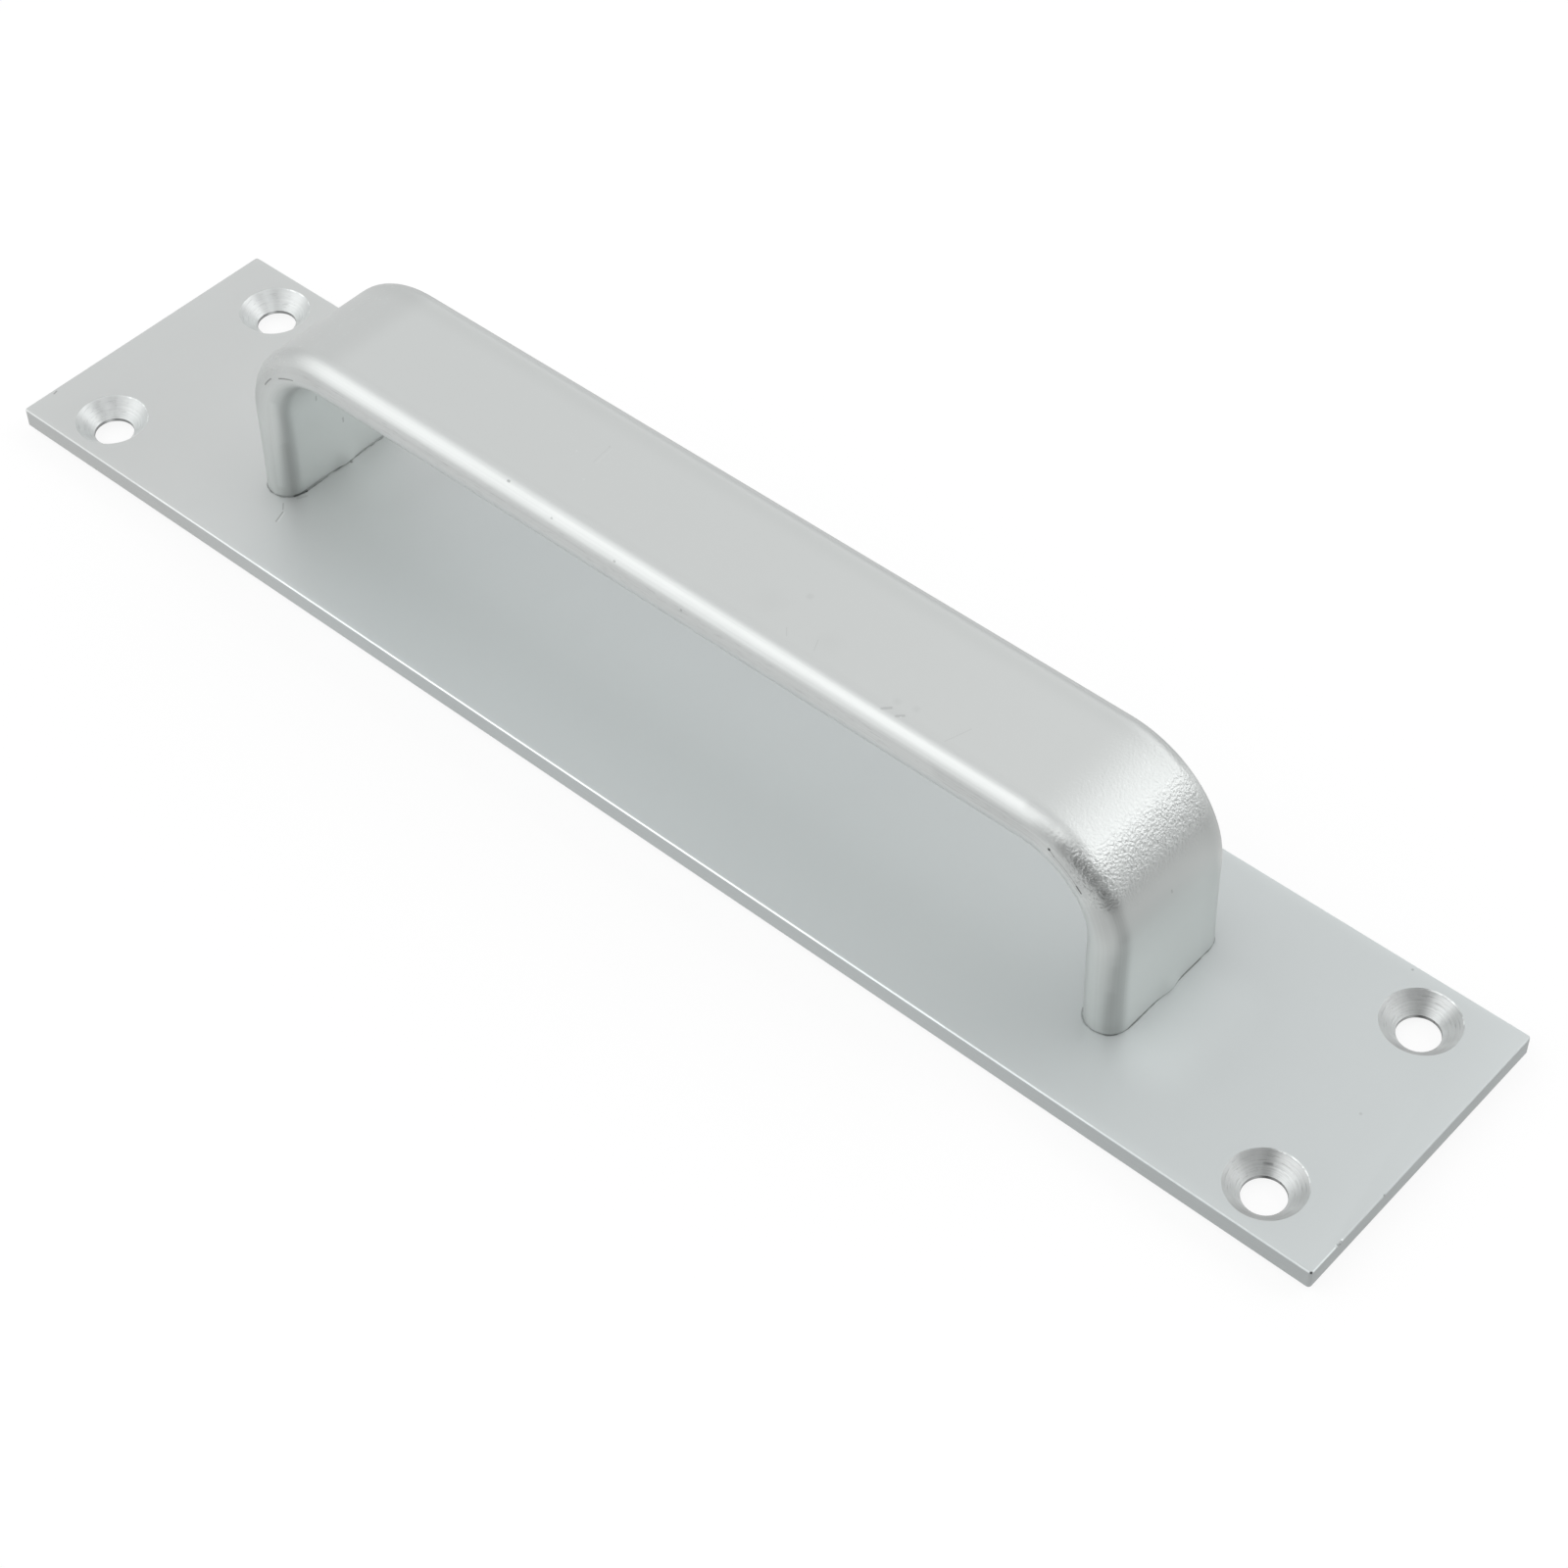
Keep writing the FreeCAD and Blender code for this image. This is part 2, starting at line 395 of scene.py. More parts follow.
bar = field(bow_tree, "GeometryNodeCurveToMesh",
            {"Curve": keep_line.outputs["Geometry"], "Profile Curve": keep_section.outputs["Geometry"],
             "Fill Caps": True})
across = Field(bow_tree, keep_section.outputs["Across"])
along = Field(bow_tree, keep_line.outputs["Along"])
at_foot = (here.part("Z") - given["Foot Height"]).below(given["Foot Edge Break"] * 0.5)
spine_half = given["Bar Width"] * 0.5 - half_thickness
spine_y = here.part("Y").maths("MINIMUM", spine_half).maths("MAXIMUM", spine_half * -1.0)
spine_x = here.part("X").maths("SIGN") * half_pitch
inward = xyz(bow_tree, spine_x, spine_y, here.part("Z")).vector("SUBTRACT", here).vector("NORMALIZE")
bar = field(bow_tree, "GeometryNodeSetPosition",
            {"Geometry": bar, "Selection": at_foot, "Offset": inward.vector("SCALE", (0, 0, 0), (0, 0, 0),
             given["Foot Edge Break"])})

above_foot = here.part("Z") - given["Foot Height"]
rise = above_foot.smooth(given["Swelling Reach"], given["Foot Edge Break"] * 2.0)
spread = here.part("Y") / given["Swelling Width"]
bulge = (spread * spread * -1.0).maths("EXPONENT") * rise * given["Swelling"]
outward = (here.part("X") - spine_x).maths("SIGN")
lean = (above_foot / given["Splay Height"] * -1.0 + 1.0).maths("MAXIMUM", 0.0)
splay = lean * lean * given["Leg Splay"] * here.part("X").maths("SIGN")
bar = field(bow_tree, "GeometryNodeSetPosition",
            {"Geometry": bar, "Offset": xyz(bow_tree, bulge * outward + splay, 0.0, 0.0)})

bar = field(bow_tree, "GeometryNodeStoreNamedAttribute", {"Geometry": bar, "Name": "along", "Value": along},
            data_type="FLOAT", domain="POINT")
bar = field(bow_tree, "GeometryNodeStoreNamedAttribute", {"Geometry": bar, "Name": "across", "Value": across},
            data_type="FLOAT_VECTOR", domain="POINT")
legs = field(bow_tree, "GeometryNodeMeshLine",
             {"Count": 2, "Start Location": xyz(bow_tree, half_pitch * -1.0),
              "Offset": xyz(bow_tree, half_pitch)}, mode="END_POINTS")
drill = field(bow_tree, "GeometryNodeObjectInfo", {"Object": given["Tapped Hole"]}, output="Geometry")
drills = field(bow_tree, "GeometryNodeInstanceOnPoints", {"Points": legs, "Instance": drill})
bar = field(bow_tree, "GeometryNodeMeshBoolean", {"Mesh 1": bar, "Mesh 2": drills}, operation="DIFFERENCE",
            solver="MANIFOLD")
bar = field(bow_tree, "GeometryNodeRealizeInstances", {"Geometry": bar})
bar = field(bow_tree, "GeometryNodeSetMaterial", {"Geometry": bar, "Material": given["Material"]})
group_result(bow_tree, Bow=bar)
arrange(bow_tree)
print("bow tree has", len(bow_tree.nodes), "nodes")

# %% The bow as a piece
tapped_radius, tapped_mouth, tapped_depth = 2.03 * mm, 0.15 * mm, 12.6 * mm
foot_z = bow_low.z
tapped_outline = [(0, foot_z - 1 * mm), (tapped_radius + tapped_mouth, foot_z - 1 * mm),
                  (tapped_radius + tapped_mouth, foot_z), (tapped_radius, foot_z + tapped_mouth),
                  (tapped_radius, tapped_depth), (0, tapped_depth + tapped_radius * 0.6)]
tapped_hole = new_object("tapped_hole", turned_mesh("tapped_hole", tapped_outline, 40))
bow = new_object("bow", bpy.data.meshes.new("bow"))
bar_thickness = 5.4 * mm
run_tree(bow, bow_tree, Pitch=bow_high.x - bow_low.x - bar_thickness, Foot_Height=foot_z, Top_Height=bow_high.z,
         Bar_Width=bow_high.y - bow_low.y, Bar_Thickness=bar_thickness, Tapped_Hole=tapped_hole,
         Material=materials["bow_aluminium"])
bpy.data.objects.remove(tapped_hole)
finish_shading(bow)

# %% [markdown]
# ## The back plate
# The plate is sawn from flat bar, its front edges are broken, and the four corner holes are
# drilled and countersunk. A plain block with two bevels is the blank. Each kind of hole is one
# turned cutter, and a tree sets the cutters out on the hole pattern and subtracts them, the way a
# jig does. A few knocks on the sawn edges are small balls set out on their own points.

# %% The blank and its cutters
plate_corner_radius, plate_edge_break = 0.4 * mm, 0.2 * mm
plate_shape = bmesh.new()
bmesh.ops.create_cube(plate_shape, size=1.0)
plate_size = plate_high - plate_low
plate_middle = (plate_high + plate_low) / 2
for vertex in plate_shape.verts:
    vertex.co = Vector([c * s for c, s in zip(vertex.co, plate_size)]) + plate_middle
upright = [e for e in plate_shape.edges if abs(e.verts[0].co.z - e.verts[1].co.z) > mm]
bmesh.ops.bevel(plate_shape, geom=upright, offset=plate_corner_radius, segments=5, profile=0.5, affect="EDGES")
rim = [e for e in plate_shape.edges if min(v.co.z for v in e.verts) > plate_high.z - plate_edge_break / 2]
bmesh.ops.bevel(plate_shape, geom=rim, offset=plate_edge_break, segments=4, profile=0.5, affect="EDGES")
plate_mesh = bpy.data.meshes.new("plate")
plate_shape.to_mesh(plate_mesh)
plate_shape.free()
plate = new_object("plate", plate_mesh)

back_z, front_z = plate_low.z, plate_high.z
hole_radius, hole_land, over = 2.5 * mm, 0.4 * mm, 1.0 * mm
sink_radius = hole_radius + (front_z - back_z - hole_land)
fixing_outline = [(0, back_z - over), (hole_radius, back_z - over), (hole_radius, back_z + hole_land),
                  (sink_radius + over, front_z + over), (0, front_z + over)]
fixing_cutter = new_object("fixing_cutter", turned_mesh("fixing_cutter", fixing_outline, 96))
head_seat_radius, seat_rim_z, shank_radius = 3.8 * mm, 1.45 * mm, 2.2 * mm
seat_outline = [(0, back_z - over), (head_seat_radius, back_z - over), (head_seat_radius, seat_rim_z),
                (shank_radius, seat_rim_z + head_seat_radius - shank_radius), (shank_radius, front_z + over),
                (0, front_z + over)]
seat_cutter = new_object("seat_cutter", turned_mesh("seat_cutter", seat_outline, 64))
print("countersink opens to", round(2 * sink_radius / mm, 2), "mm")

# Centre and radius of each knock on the rim of the front face, in millimetres
rim_knocks = (((100.07, -14.85, 3.57), 0.28), ((100.07, -15.42, 3.57), 0.30), ((100.0, -20.0, 3.58), 0.28),
              ((100.07, -7.2, 3.52), 0.20))
knock_shape = bmesh.new()
for centre, radius in rim_knocks:
    ball = bmesh.ops.create_icosphere(knock_shape, subdivisions=3, radius=radius * mm)
    bmesh.ops.translate(knock_shape, verts=ball["verts"], vec=Vector(centre) * mm)
knock_mesh = bpy.data.meshes.new("rim_knocks")
knock_shape.to_mesh(knock_mesh)
knock_shape.free()
knock_balls = new_object("rim_knocks", knock_mesh)
print(len(rim_knocks), "knocks on the rim")

# %% Drill the plate
drill_tree, given = new_tree("drill_the_plate", "GeometryNodeTree", [
    ("Plate", "Geometry", None), ("Fixing Pitch", "Float", 0.18), ("Fixing Side Pitch", "Float", 0.028),
    ("Leg Pitch", "Float", 0.128), ("Front Height", "Float", 0.0035), ("Sink Radius", "Float", 0.0046),
    ("Fixing Cutter", "Object", None), ("Seat Cutter", "Object", None), ("Rim Knocks", "Object", None),
    ("Plate Finish", "Material", None), ("Countersink Finish", "Material", None)],
    [("Plate", "Geometry", None)])
corners = field(drill_tree, "GeometryNodeMeshGrid", {
    "Size X": given["Fixing Pitch"], "Size Y": given["Fixing Side Pitch"], "Vertices X": 2, "Vertices Y": 2})
half_leg_pitch = given["Leg Pitch"] * 0.5
legs = field(drill_tree, "GeometryNodeMeshLine",
             {"Count": 2, "Start Location": xyz(drill_tree, half_leg_pitch * -1.0),
              "Offset": xyz(drill_tree, half_leg_pitch)}, mode="END_POINTS")
middle = field(drill_tree, "GeometryNodeMeshLine", {"Count": 1})
drilled = given["Plate"]
for points, cutter in ((corners, "Fixing Cutter"), (legs, "Seat Cutter"), (middle, "Rim Knocks")):
    tool = field(drill_tree, "GeometryNodeObjectInfo", {"Object": given[cutter]}, output="Geometry")
    tools = field(drill_tree, "GeometryNodeInstanceOnPoints", {"Points": points, "Instance": tool})
    drilled = field(drill_tree, "GeometryNodeMeshBoolean", {"Mesh 1": drilled, "Mesh 2": tools},
                    operation="DIFFERENCE", solver="MANIFOLD")
drilled = field(drill_tree, "GeometryNodeRealizeInstances", {"Geometry": drilled})
drilled = field(drill_tree, "GeometryNodeSetMaterial", {"Geometry": drilled, "Material": given["Plate Finish"]})
here = field(drill_tree, "GeometryNodeInputPosition")
off_x = here.part("X").maths("ABSOLUTE") - given["Fixing Pitch"] * 0.5
off_y = here.part("Y").maths("ABSOLUTE") - given["Fixing Side Pitch"] * 0.5
from_axis = (off_x * off_x + off_y * off_y).maths("SQRT")
on_cone = from_axis.below(given["Sink Radius"]) * here.part("Z").below(given["Front Height"] - 0.02 * mm)
drilled = field(drill_tree, "GeometryNodeSetMaterial",
                {"Geometry": drilled, "Selection": on_cone, "Material": given["Countersink Finish"]})
group_result(drill_tree, Plate=drilled)
arrange(drill_tree)

fixing_pitch, fixing_side_pitch, leg_pitch = 180 * mm, 28 * mm, 128 * mm
run_tree(plate, drill_tree, Fixing_Pitch=fixing_pitch, Fixing_Side_Pitch=fixing_side_pitch, Leg_Pitch=leg_pitch,
         Front_Height=front_z, Sink_Radius=sink_radius, Fixing_Cutter=fixing_cutter, Seat_Cutter=seat_cutter,
         Rim_Knocks=knock_balls,
         Plate_Finish=materials["plate_aluminium"], Countersink_Finish=materials["countersink_aluminium"])
bpy.data.objects.remove(fixing_cutter)
bpy.data.objects.remove(seat_cutter)
bpy.data.objects.remove(knock_balls)
finish_shading(plate, 20.0)


# %% [markdown]
# ## The two leg screws
# A countersunk machine screw is rolled: its thread is a ridge that climbs as it goes round. A
# turned shape would only give stacked rings, so the shank is built ring by ring with a radius
# that depends on height and angle together. The cross recess is one tapered slot, cut twice at a
# right angle by a tree that then sets the screw on both legs.

# %% One screw
screw_sides, thread_pitch, thread_depth, steps_per_turn = 48, 0.7 * mm, 0.36 * mm, 8
head_face_z, head_rim_z, shank_z, tip_z = 1.1 * mm, 1.45 * mm, 3.2 * mm, 11.1 * mm
head_radius, thread_radius, tip_chamfer = 3.75 * mm, 2.0 * mm, 0.5 * mm


def thread_radius_at(height, share_of_turn):
    """Radius of the thread, cut back where it runs out under the head and at the tip."""
    ramp = abs(((height / thread_pitch - share_of_turn) % 1.0) * 2.0 - 1.0)
    groove = thread_depth * min(1.0, max(0.0, ramp * 1.25 - 0.125))
    run_out = min(1.0, max(0.0, (height - shank_z - 0.2 * mm) / (0.8 * mm)))
    end = max(0.0, height - (tip_z - tip_chamfer))
    return min(thread_radius - groove * run_out, thread_radius - end)


screw_rings = [[(radius, height)] * screw_sides for radius, height in (
    (head_radius - 0.15 * mm, head_face_z), (head_radius - 0.04 * mm, head_face_z + 0.03 * mm),
    (head_radius, head_face_z + 0.12 * mm), (head_radius, head_rim_z - 0.05 * mm),
    (head_radius - 0.05 * mm, head_rim_z + 0.03 * mm), (thread_radius + 0.1 * mm, shank_z - 0.1 * mm))]
ring_step = thread_pitch / steps_per_turn
for level_number in range(int((tip_z - shank_z) / ring_step) + 1):
    height = min(shank_z + level_number * ring_step, tip_z)
    screw_rings.append([(thread_radius_at(height, side / screw_sides), height) for side in range(screw_sides)])
screw_shape = bmesh.new()
ring_verts = []
for ring_points in screw_rings:
    angles = [math.tau * side / screw_sides for side in range(screw_sides)]
    ring_verts.append([screw_shape.verts.new((r * math.cos(a), r * math.sin(a), z))
                       for (r, z), a in zip(ring_points, angles)])
for lower, upper in zip(ring_verts, ring_verts[1:]):
    for side in range(screw_sides):
        following = (side + 1) % screw_sides
        screw_shape.faces.new((lower[side], lower[following], upper[following], upper[side]))
screw_shape.faces.new(ring_verts[0])
screw_shape.faces.new(ring_verts[-1])
bmesh.ops.recalc_face_normals(screw_shape, faces=screw_shape.faces)
screw_mesh = bpy.data.meshes.new("screws")
screw_shape.to_mesh(screw_mesh)
screw_shape.free()
screws = new_object("screws", screw_mesh)
print("one screw has", len(screw_mesh.vertices), "points")

# %% The driver slot and the pair of screws
slot_cutter_shape = bmesh.new()
slot_levels = [(2.4, 0.48, -0.3), (2.1, 0.45, 0.0), (0.4, 0.34, 2.0)]
slot_rows = [[slot_cutter_shape.verts.new((sx * x * mm, sy * y * mm, head_face_z + z * mm))
              for sx, sy in ((-1, -1), (1, -1), (1, 1), (-1, 1))] for x, y, z in slot_levels]
for lower, upper in zip(slot_rows, slot_rows[1:]):
    for side in range(4):
        slot_cutter_shape.faces.new((lower[side], lower[(side + 1) % 4], upper[(side + 1) % 4], upper[side]))
slot_cutter_shape.faces.new(slot_rows[0])
slot_cutter_shape.faces.new(slot_rows[-1])
bmesh.ops.recalc_face_normals(slot_cutter_shape, faces=slot_cutter_shape.faces)
slot_mesh = bpy.data.meshes.new("driver_slot")
slot_cutter_shape.to_mesh(slot_mesh)
slot_cutter_shape.free()
driver_slot = new_object("driver_slot", slot_mesh)

screw_tree, given = new_tree("set_the_screws", "GeometryNodeTree", [
    ("Screw", "Geometry", None), ("Driver Slot", "Object", None), ("Leg Pitch", "Float", 0.128),
    ("Turn", "Float", 0.5), ("Material", "Material", None)], [("Screws", "Geometry", None)])
cut = given["Screw"]
slot_form = field(screw_tree, "GeometryNodeObjectInfo", {"Object": given["Driver Slot"]}, output="Geometry")
for quarter in (0.0, math.pi / 2):
    turned_slot = field(screw_tree, "GeometryNodeTransform", {"Geometry": slot_form, "Rotation": (0, 0, quarter)})
    cut = field(screw_tree, "GeometryNodeMeshBoolean", {"Mesh 1": cut, "Mesh 2": turned_slot},
                operation="DIFFERENCE", solver="MANIFOLD")
half_leg_pitch = given["Leg Pitch"] * 0.5
legs = field(screw_tree, "GeometryNodeMeshLine",
             {"Count": 2, "Start Location": xyz(screw_tree, half_leg_pitch * -1.0),
              "Offset": xyz(screw_tree, half_leg_pitch)}, mode="END_POINTS")
turn_each = field(screw_tree, "GeometryNodeInputIndex") * given["Turn"]
both = field(screw_tree, "GeometryNodeInstanceOnPoints",
             {"Points": legs, "Instance": cut, "Rotation": xyz(screw_tree, 0.0, 0.0, turn_each)})
both = field(screw_tree, "GeometryNodeRealizeInstances", {"Geometry": both})
both = field(screw_tree, "GeometryNodeSetMaterial", {"Geometry": both, "Material": given["Material"]})
group_result(screw_tree, Screws=both)
arrange(screw_tree)
run_tree(screws, screw_tree, Driver_Slot=driver_slot, Leg_Pitch=leg_pitch, Turn=0.5,
         Material=materials["zinc_steel"])
bpy.data.objects.remove(driver_slot)
finish_shading(screws, 40.0)

# %% [markdown]
# ## The foam tape
# The tape is die-cut from a sheet: two adhesive films with foam between them. The films keep the
# clean line of the die, while the cut foam draws back a little and shows its cells. The outline
# is walked once in small steps, and each row up the edge is that line moved inwards by its own
# amount, with a small uneven part for the rows in the foam.

# %% The tape as a piece
pad_corner_radius, pad_step = 3.0 * mm, 0.8 * mm
tape_rows = ((0.0, 0.10, 0.0), (0.05, 0.01, 0.0), (0.13, 0.0, 0.0), (0.17, 0.04, 0.02), (0.33, 0.06, 0.05),
             (0.5, 0.07, 0.06), (0.67, 0.06, 0.05), (0.83, 0.04, 0.02), (0.87, 0.0, 0.0), (0.95, 0.01, 0.0),
             (1.0, 0.10, 0.0))


def rounded_outline(half_length, half_width, radius, step):
    """Points and outward directions along a rounded rectangle, about one step apart."""
    line = []
    centres = [(1, -1, 270), (1, 1, 0), (-1, 1, 90), (-1, -1, 180)]
    arc_steps = max(2, round(radius * math.pi / 2 / step))
    for number, (sx, sy, start) in enumerate(centres):
        centre = Vector((sx * (half_length - radius), sy * (half_width - radius)))
        for k in range(arc_steps + 1):
            a = math.radians(start + 90 * k / arc_steps)
            line.append((centre + radius * Vector((math.cos(a), math.sin(a))), Vector((math.cos(a), math.sin(a)))))
        nx, ny, next_start = centres[(number + 1) % 4]
        a = math.radians(next_start)
        normal = Vector((math.cos(a), math.sin(a)))
        goal = Vector((nx * (half_length - radius), ny * (half_width - radius))) + radius * normal
        run = goal - line[-1][0]
        for k in range(1, round(run.length / step)):
            line.append((line[-1][0] + run / round(run.length / step), normal))
    return line


tape_random = random.Random(7)
tape_line = rounded_outline(pad_high.x, pad_high.y, pad_corner_radius, pad_step)
tape_shape = bmesh.new()
tape_verts = []
for share, inset, unevenness in tape_rows:
    z = pad_low.z + (pad_high.z - pad_low.z) * share
    row = []
    for point, normal in tape_line:
        spot_2d = point - normal * (inset + unevenness * tape_random.uniform(-0.6, 1.0)) * mm
        row.append(tape_shape.verts.new((spot_2d.x, spot_2d.y, z)))
    tape_verts.append(row)
for lower, upper in zip(tape_verts, tape_verts[1:]):
    for side in range(len(lower)):
        following = (side + 1) % len(lower)
        tape_shape.faces.new((lower[side], lower[following], upper[following], upper[side]))
tape_shape.faces.new(tape_verts[0])
tape_shape.faces.new(tape_verts[-1])
bmesh.ops.recalc_face_normals(tape_shape, faces=tape_shape.faces)
tape_mesh = bpy.data.meshes.new("tape")
tape_shape.to_mesh(tape_mesh)
tape_shape.free()
tape_mesh.materials.append(materials["foam_tape"])
tape = new_object("tape", tape_mesh)
finish_shading(tape, 50.0)


# %% [markdown]
# ## Shared finish effects
# Both aluminium pieces are blasted and anodised, both carry small marks, and where they meet
# both get a thin dark seam of grime and painted contact shade, with a soft painted shade round it.
# Each of those effects is a node group that reads millimetres, so that one recipe serves every
# material with its own values.

# %% Blasted grain
grain_tree, given = new_tree("blasted_grain", "ShaderNodeTree", [
    ("Position", "Vector", None), ("Grain Size", "Float", 0.3), ("Depth", "Float", 0.001)],
    [("Height", "Float", None), ("Tone", "Float", None)])
fine = field(grain_tree, "ShaderNodeTexNoise",
             {"Vector": given["Position"], "Scale": given["Grain Size"].maths("POWER", -1.0), "Detail": 2.0,
              "Roughness": 0.6})
group_result(grain_tree, Height=(fine - 0.5) * given["Depth"], Tone=fine)
arrange(grain_tree)

# %% Placed marks
# A mark is a short line with round ends. Each copy adds its own amount to the total handed to it,
# so a list of marks becomes a chain of copies.
mark_tree, given = new_tree("placed_mark", "ShaderNodeTree", [
    ("Position", "Vector", None), ("Start", "Vector", None), ("End", "Vector", None), ("Radius", "Float", 0.2),
    ("Softness", "Float", 0.1), ("Amount", "Float", 1.0), ("Total So Far", "Float", 0.0)], [("Total", "Float", None)])
from_start = given["Position"].vector("SUBTRACT", given["Start"])
whole = given["End"].vector("SUBTRACT", given["Start"])
size = whole.vector("DOT_PRODUCT", whole, output="Value").maths("MAXIMUM", 1e-6)
share = (from_start.vector("DOT_PRODUCT", whole, output="Value") / size).maths("MAXIMUM", 0.0).maths("MINIMUM", 1.0)
nearest = whole.vector("SCALE", (0, 0, 0), (0, 0, 0), share)
away = from_start.vector("DISTANCE", nearest, output="Value")
mask = away.smooth(given["Radius"] + given["Softness"], given["Radius"] - given["Softness"])
group_result(mark_tree, Total=mask.maths("MULTIPLY_ADD", given["Amount"], given["Total So Far"]))
arrange(mark_tree)

# %% Grime and painted shade where a leg stands on the plate
grime_and_shade_tree, given = new_tree("foot_grime", "ShaderNodeTree", [
    ("Position", "Vector", None), ("Leg X", "Float", 64.2), ("Half Spine", "Float", 7.2),
    ("Half Thickness", "Float", 2.75), ("Foot Level", "Float", 3.5), ("Seam Width", "Float", 0.16),
    ("Shade Width", "Float", 2.0)], [("Seam", "Float", None), ("Shade", "Float", None)])
off_x = given["Position"].part("X").maths("ABSOLUTE") - given["Leg X"]
off_y = (given["Position"].part("Y").maths("ABSOLUTE") - given["Half Spine"]).maths("MAXIMUM", 0.0)
from_leg = ((off_x * off_x + off_y * off_y).maths("SQRT") - given["Half Thickness"]).maths("ABSOLUTE")
above = given["Position"].part("Z") - given["Foot Level"]
gap = (from_leg * from_leg + above * above).maths("SQRT")
patchy = field(grime_and_shade_tree, "ShaderNodeTexNoise", {"Vector": given["Position"], "Scale": 0.9, "Detail": 2.0})
# Seam: a thin dark line round the foot, grime and painted contact shade. Shade: a soft painted shade that fades away
# from the leg.
seam_reach = given["Seam Width"] * patchy.smooth(0.42, 0.62).between(0.15, 1.5)
seam = (gap / seam_reach).smooth(1.0, 0.35)
shade = (gap / given["Shade Width"] * -1.0).maths("EXPONENT")
group_result(grime_and_shade_tree, Seam=seam, Shade=shade)
arrange(grime_and_shade_tree)
print("finish groups ready")


# %% Material helpers
def start_material(name, **principled):
    """Clears the material, adds its shader with fixed values, and returns the tree and the millimetres."""
    material = materials[name]
    material.use_nodes = True
    tree = material.node_tree
    tree.nodes.clear()
    shader = place(tree, "ShaderNodeBsdfPrincipled", {k.replace("_", " "): v for k, v in principled.items()})
    place(tree, "ShaderNodeOutputMaterial", {"Surface": shader.outputs["BSDF"]})
    place_mm = field(tree, "ShaderNodeTexCoord", output="Object").vector("SCALE", (0, 0, 0), (0, 0, 0), 1 / mm)
    return tree, shader, place_mm


def group(tree, name, output, **inputs):
    node = tree.nodes.new("ShaderNodeGroup")
    node.node_tree = bpy.data.node_groups[name]
    for key, value in inputs.items():
        feed(tree, node.inputs[key.replace("_", " ")], value)
    return Field(tree, node.outputs[output])


def mark_total(tree, position, marks, total=0.0):
    """Chains one placed mark per line of the list: start, end, radius, softness, amount."""
    for start, end, radius, softness, amount in marks:
        total = group(tree, "placed_mark", "Total", Position=position, Start=start, End=end, Radius=radius,
                      Softness=softness, Amount=amount, Total_So_Far=total)
    return total


def mix_colours(tree, share, first, second):
    return field(tree, "ShaderNodeMix", {0: share, 6: first, 7: second}, output=2, data_type="RGBA")


def darken(tree, colour, amount):
    """Scales a colour by one minus the amount."""
    keep = amount * -1.0 + 1.0
    return colour.vector("SCALE", (0, 0, 0), (0, 0, 0), keep)


def noise(tree, vector, scale, detail=2.0, output=0):
    return field(tree, "ShaderNodeTexNoise", {"Vector": vector, "Scale": scale, "Detail": detail}, output=output)


def finish(tree, shader, colour, height=None, roughness=None):
    """Plugs in the colour, the roughness and a height in millimetres."""
    feed(tree, shader.inputs["Base Color"], colour)
    if roughness is not None:
        feed(tree, shader.inputs["Roughness"], roughness)
    if height is not None:
        bump = place(tree, "ShaderNodeBump", {"Height": height, "Distance": mm})
        feed(tree, shader.inputs["Normal"], bump.outputs[0])
    arrange(tree)
    print("finish with", len(tree.nodes), "nodes")


# %% [markdown]
# ## The plate's finish
# The face is flat anodised aluminium with next to no grain. It is a touch cooler in colour
# towards the right. The narrow sides are the sawn ends of the bar: darker, with fine lines along
# the cut, and painted lighter towards the left end. Round the legs lie a thin dark seam of grime
# and painted contact shade, and a soft painted shade. The face is painted darker towards both
# ends, and painted light makes it lighter in a strip along the front and in three patches beside
# the legs. The rims along the front and the back are lighter, partly from wear and partly as
# painted highlight. A handful of specks and one short scratch sit where the photograph has them.

# %% Plate finish
# Specks, a short scratch, and knocks with bright chips on the rims; at the left foot a dark seam line of grime and
# painted contact shade.
plate_marks_and_painted_seam_shade = (
    ((85.27, 19.3, 3.5), (85.27, 19.3, 3.5), 0.14, 0.08, 0.30), ((92.18, -0.3, 3.5), (92.18, -0.3, 3.5), 0.16, 0.1, 0.16),
    ((-62.0, -10.4, 3.5), (-61.2, -11.2, 3.5), 0.07, 0.05, 0.3), ((-60.9, -11.5, 3.5), (-60.3, -13.2, 3.5), 0.09, 0.06, 0.34),
    ((-60.7, -11.4, 3.5), (-60.1, -13.0, 3.5), 0.07, 0.06, -0.14), ((-65.4, -9.0, 3.5), (-66.2, -8.6, 3.5), 0.08, 0.05, 0.2),
    ((100.0, -15.05, 3.5), (100.0, -15.05, 3.4), 0.16, 0.08, 0.4), ((99.85, -15.5, 3.5), (99.95, -15.45, 3.4), 0.12, 0.06, -0.35),
    ((99.9, -14.55, 3.5), (99.95, -14.5, 3.5), 0.12, 0.06, -0.35), ((99.9, -19.9, 3.5), (99.9, -19.9, 3.5), 0.2, 0.06, 0.85),
    ((-99.35, -15.6, 3.5), (-99.5, -15.1, 3.5), 0.1, 0.06, 0.35), ((99.95, -7.2, 3.4), (99.95, -7.2, 3.4), 0.14, 0.07, 0.3),
    ((-61.9, -8.6, 3.5), (-61.4, -7.0, 3.5), 0.14, 0.1, 0.5), ((-61.4, -7.0, 3.5), (-61.4, -4.5, 3.5), 0.08, 0.06, 0.4),
    ((-61.1, 0.3, 3.5), (-61.1, 0.4, 3.5), 0.14, 0.07, 0.5), ((-61.3, -8.6, 3.5), (-60.8, -7.6, 3.5), 0.16, 0.15, 0.15))
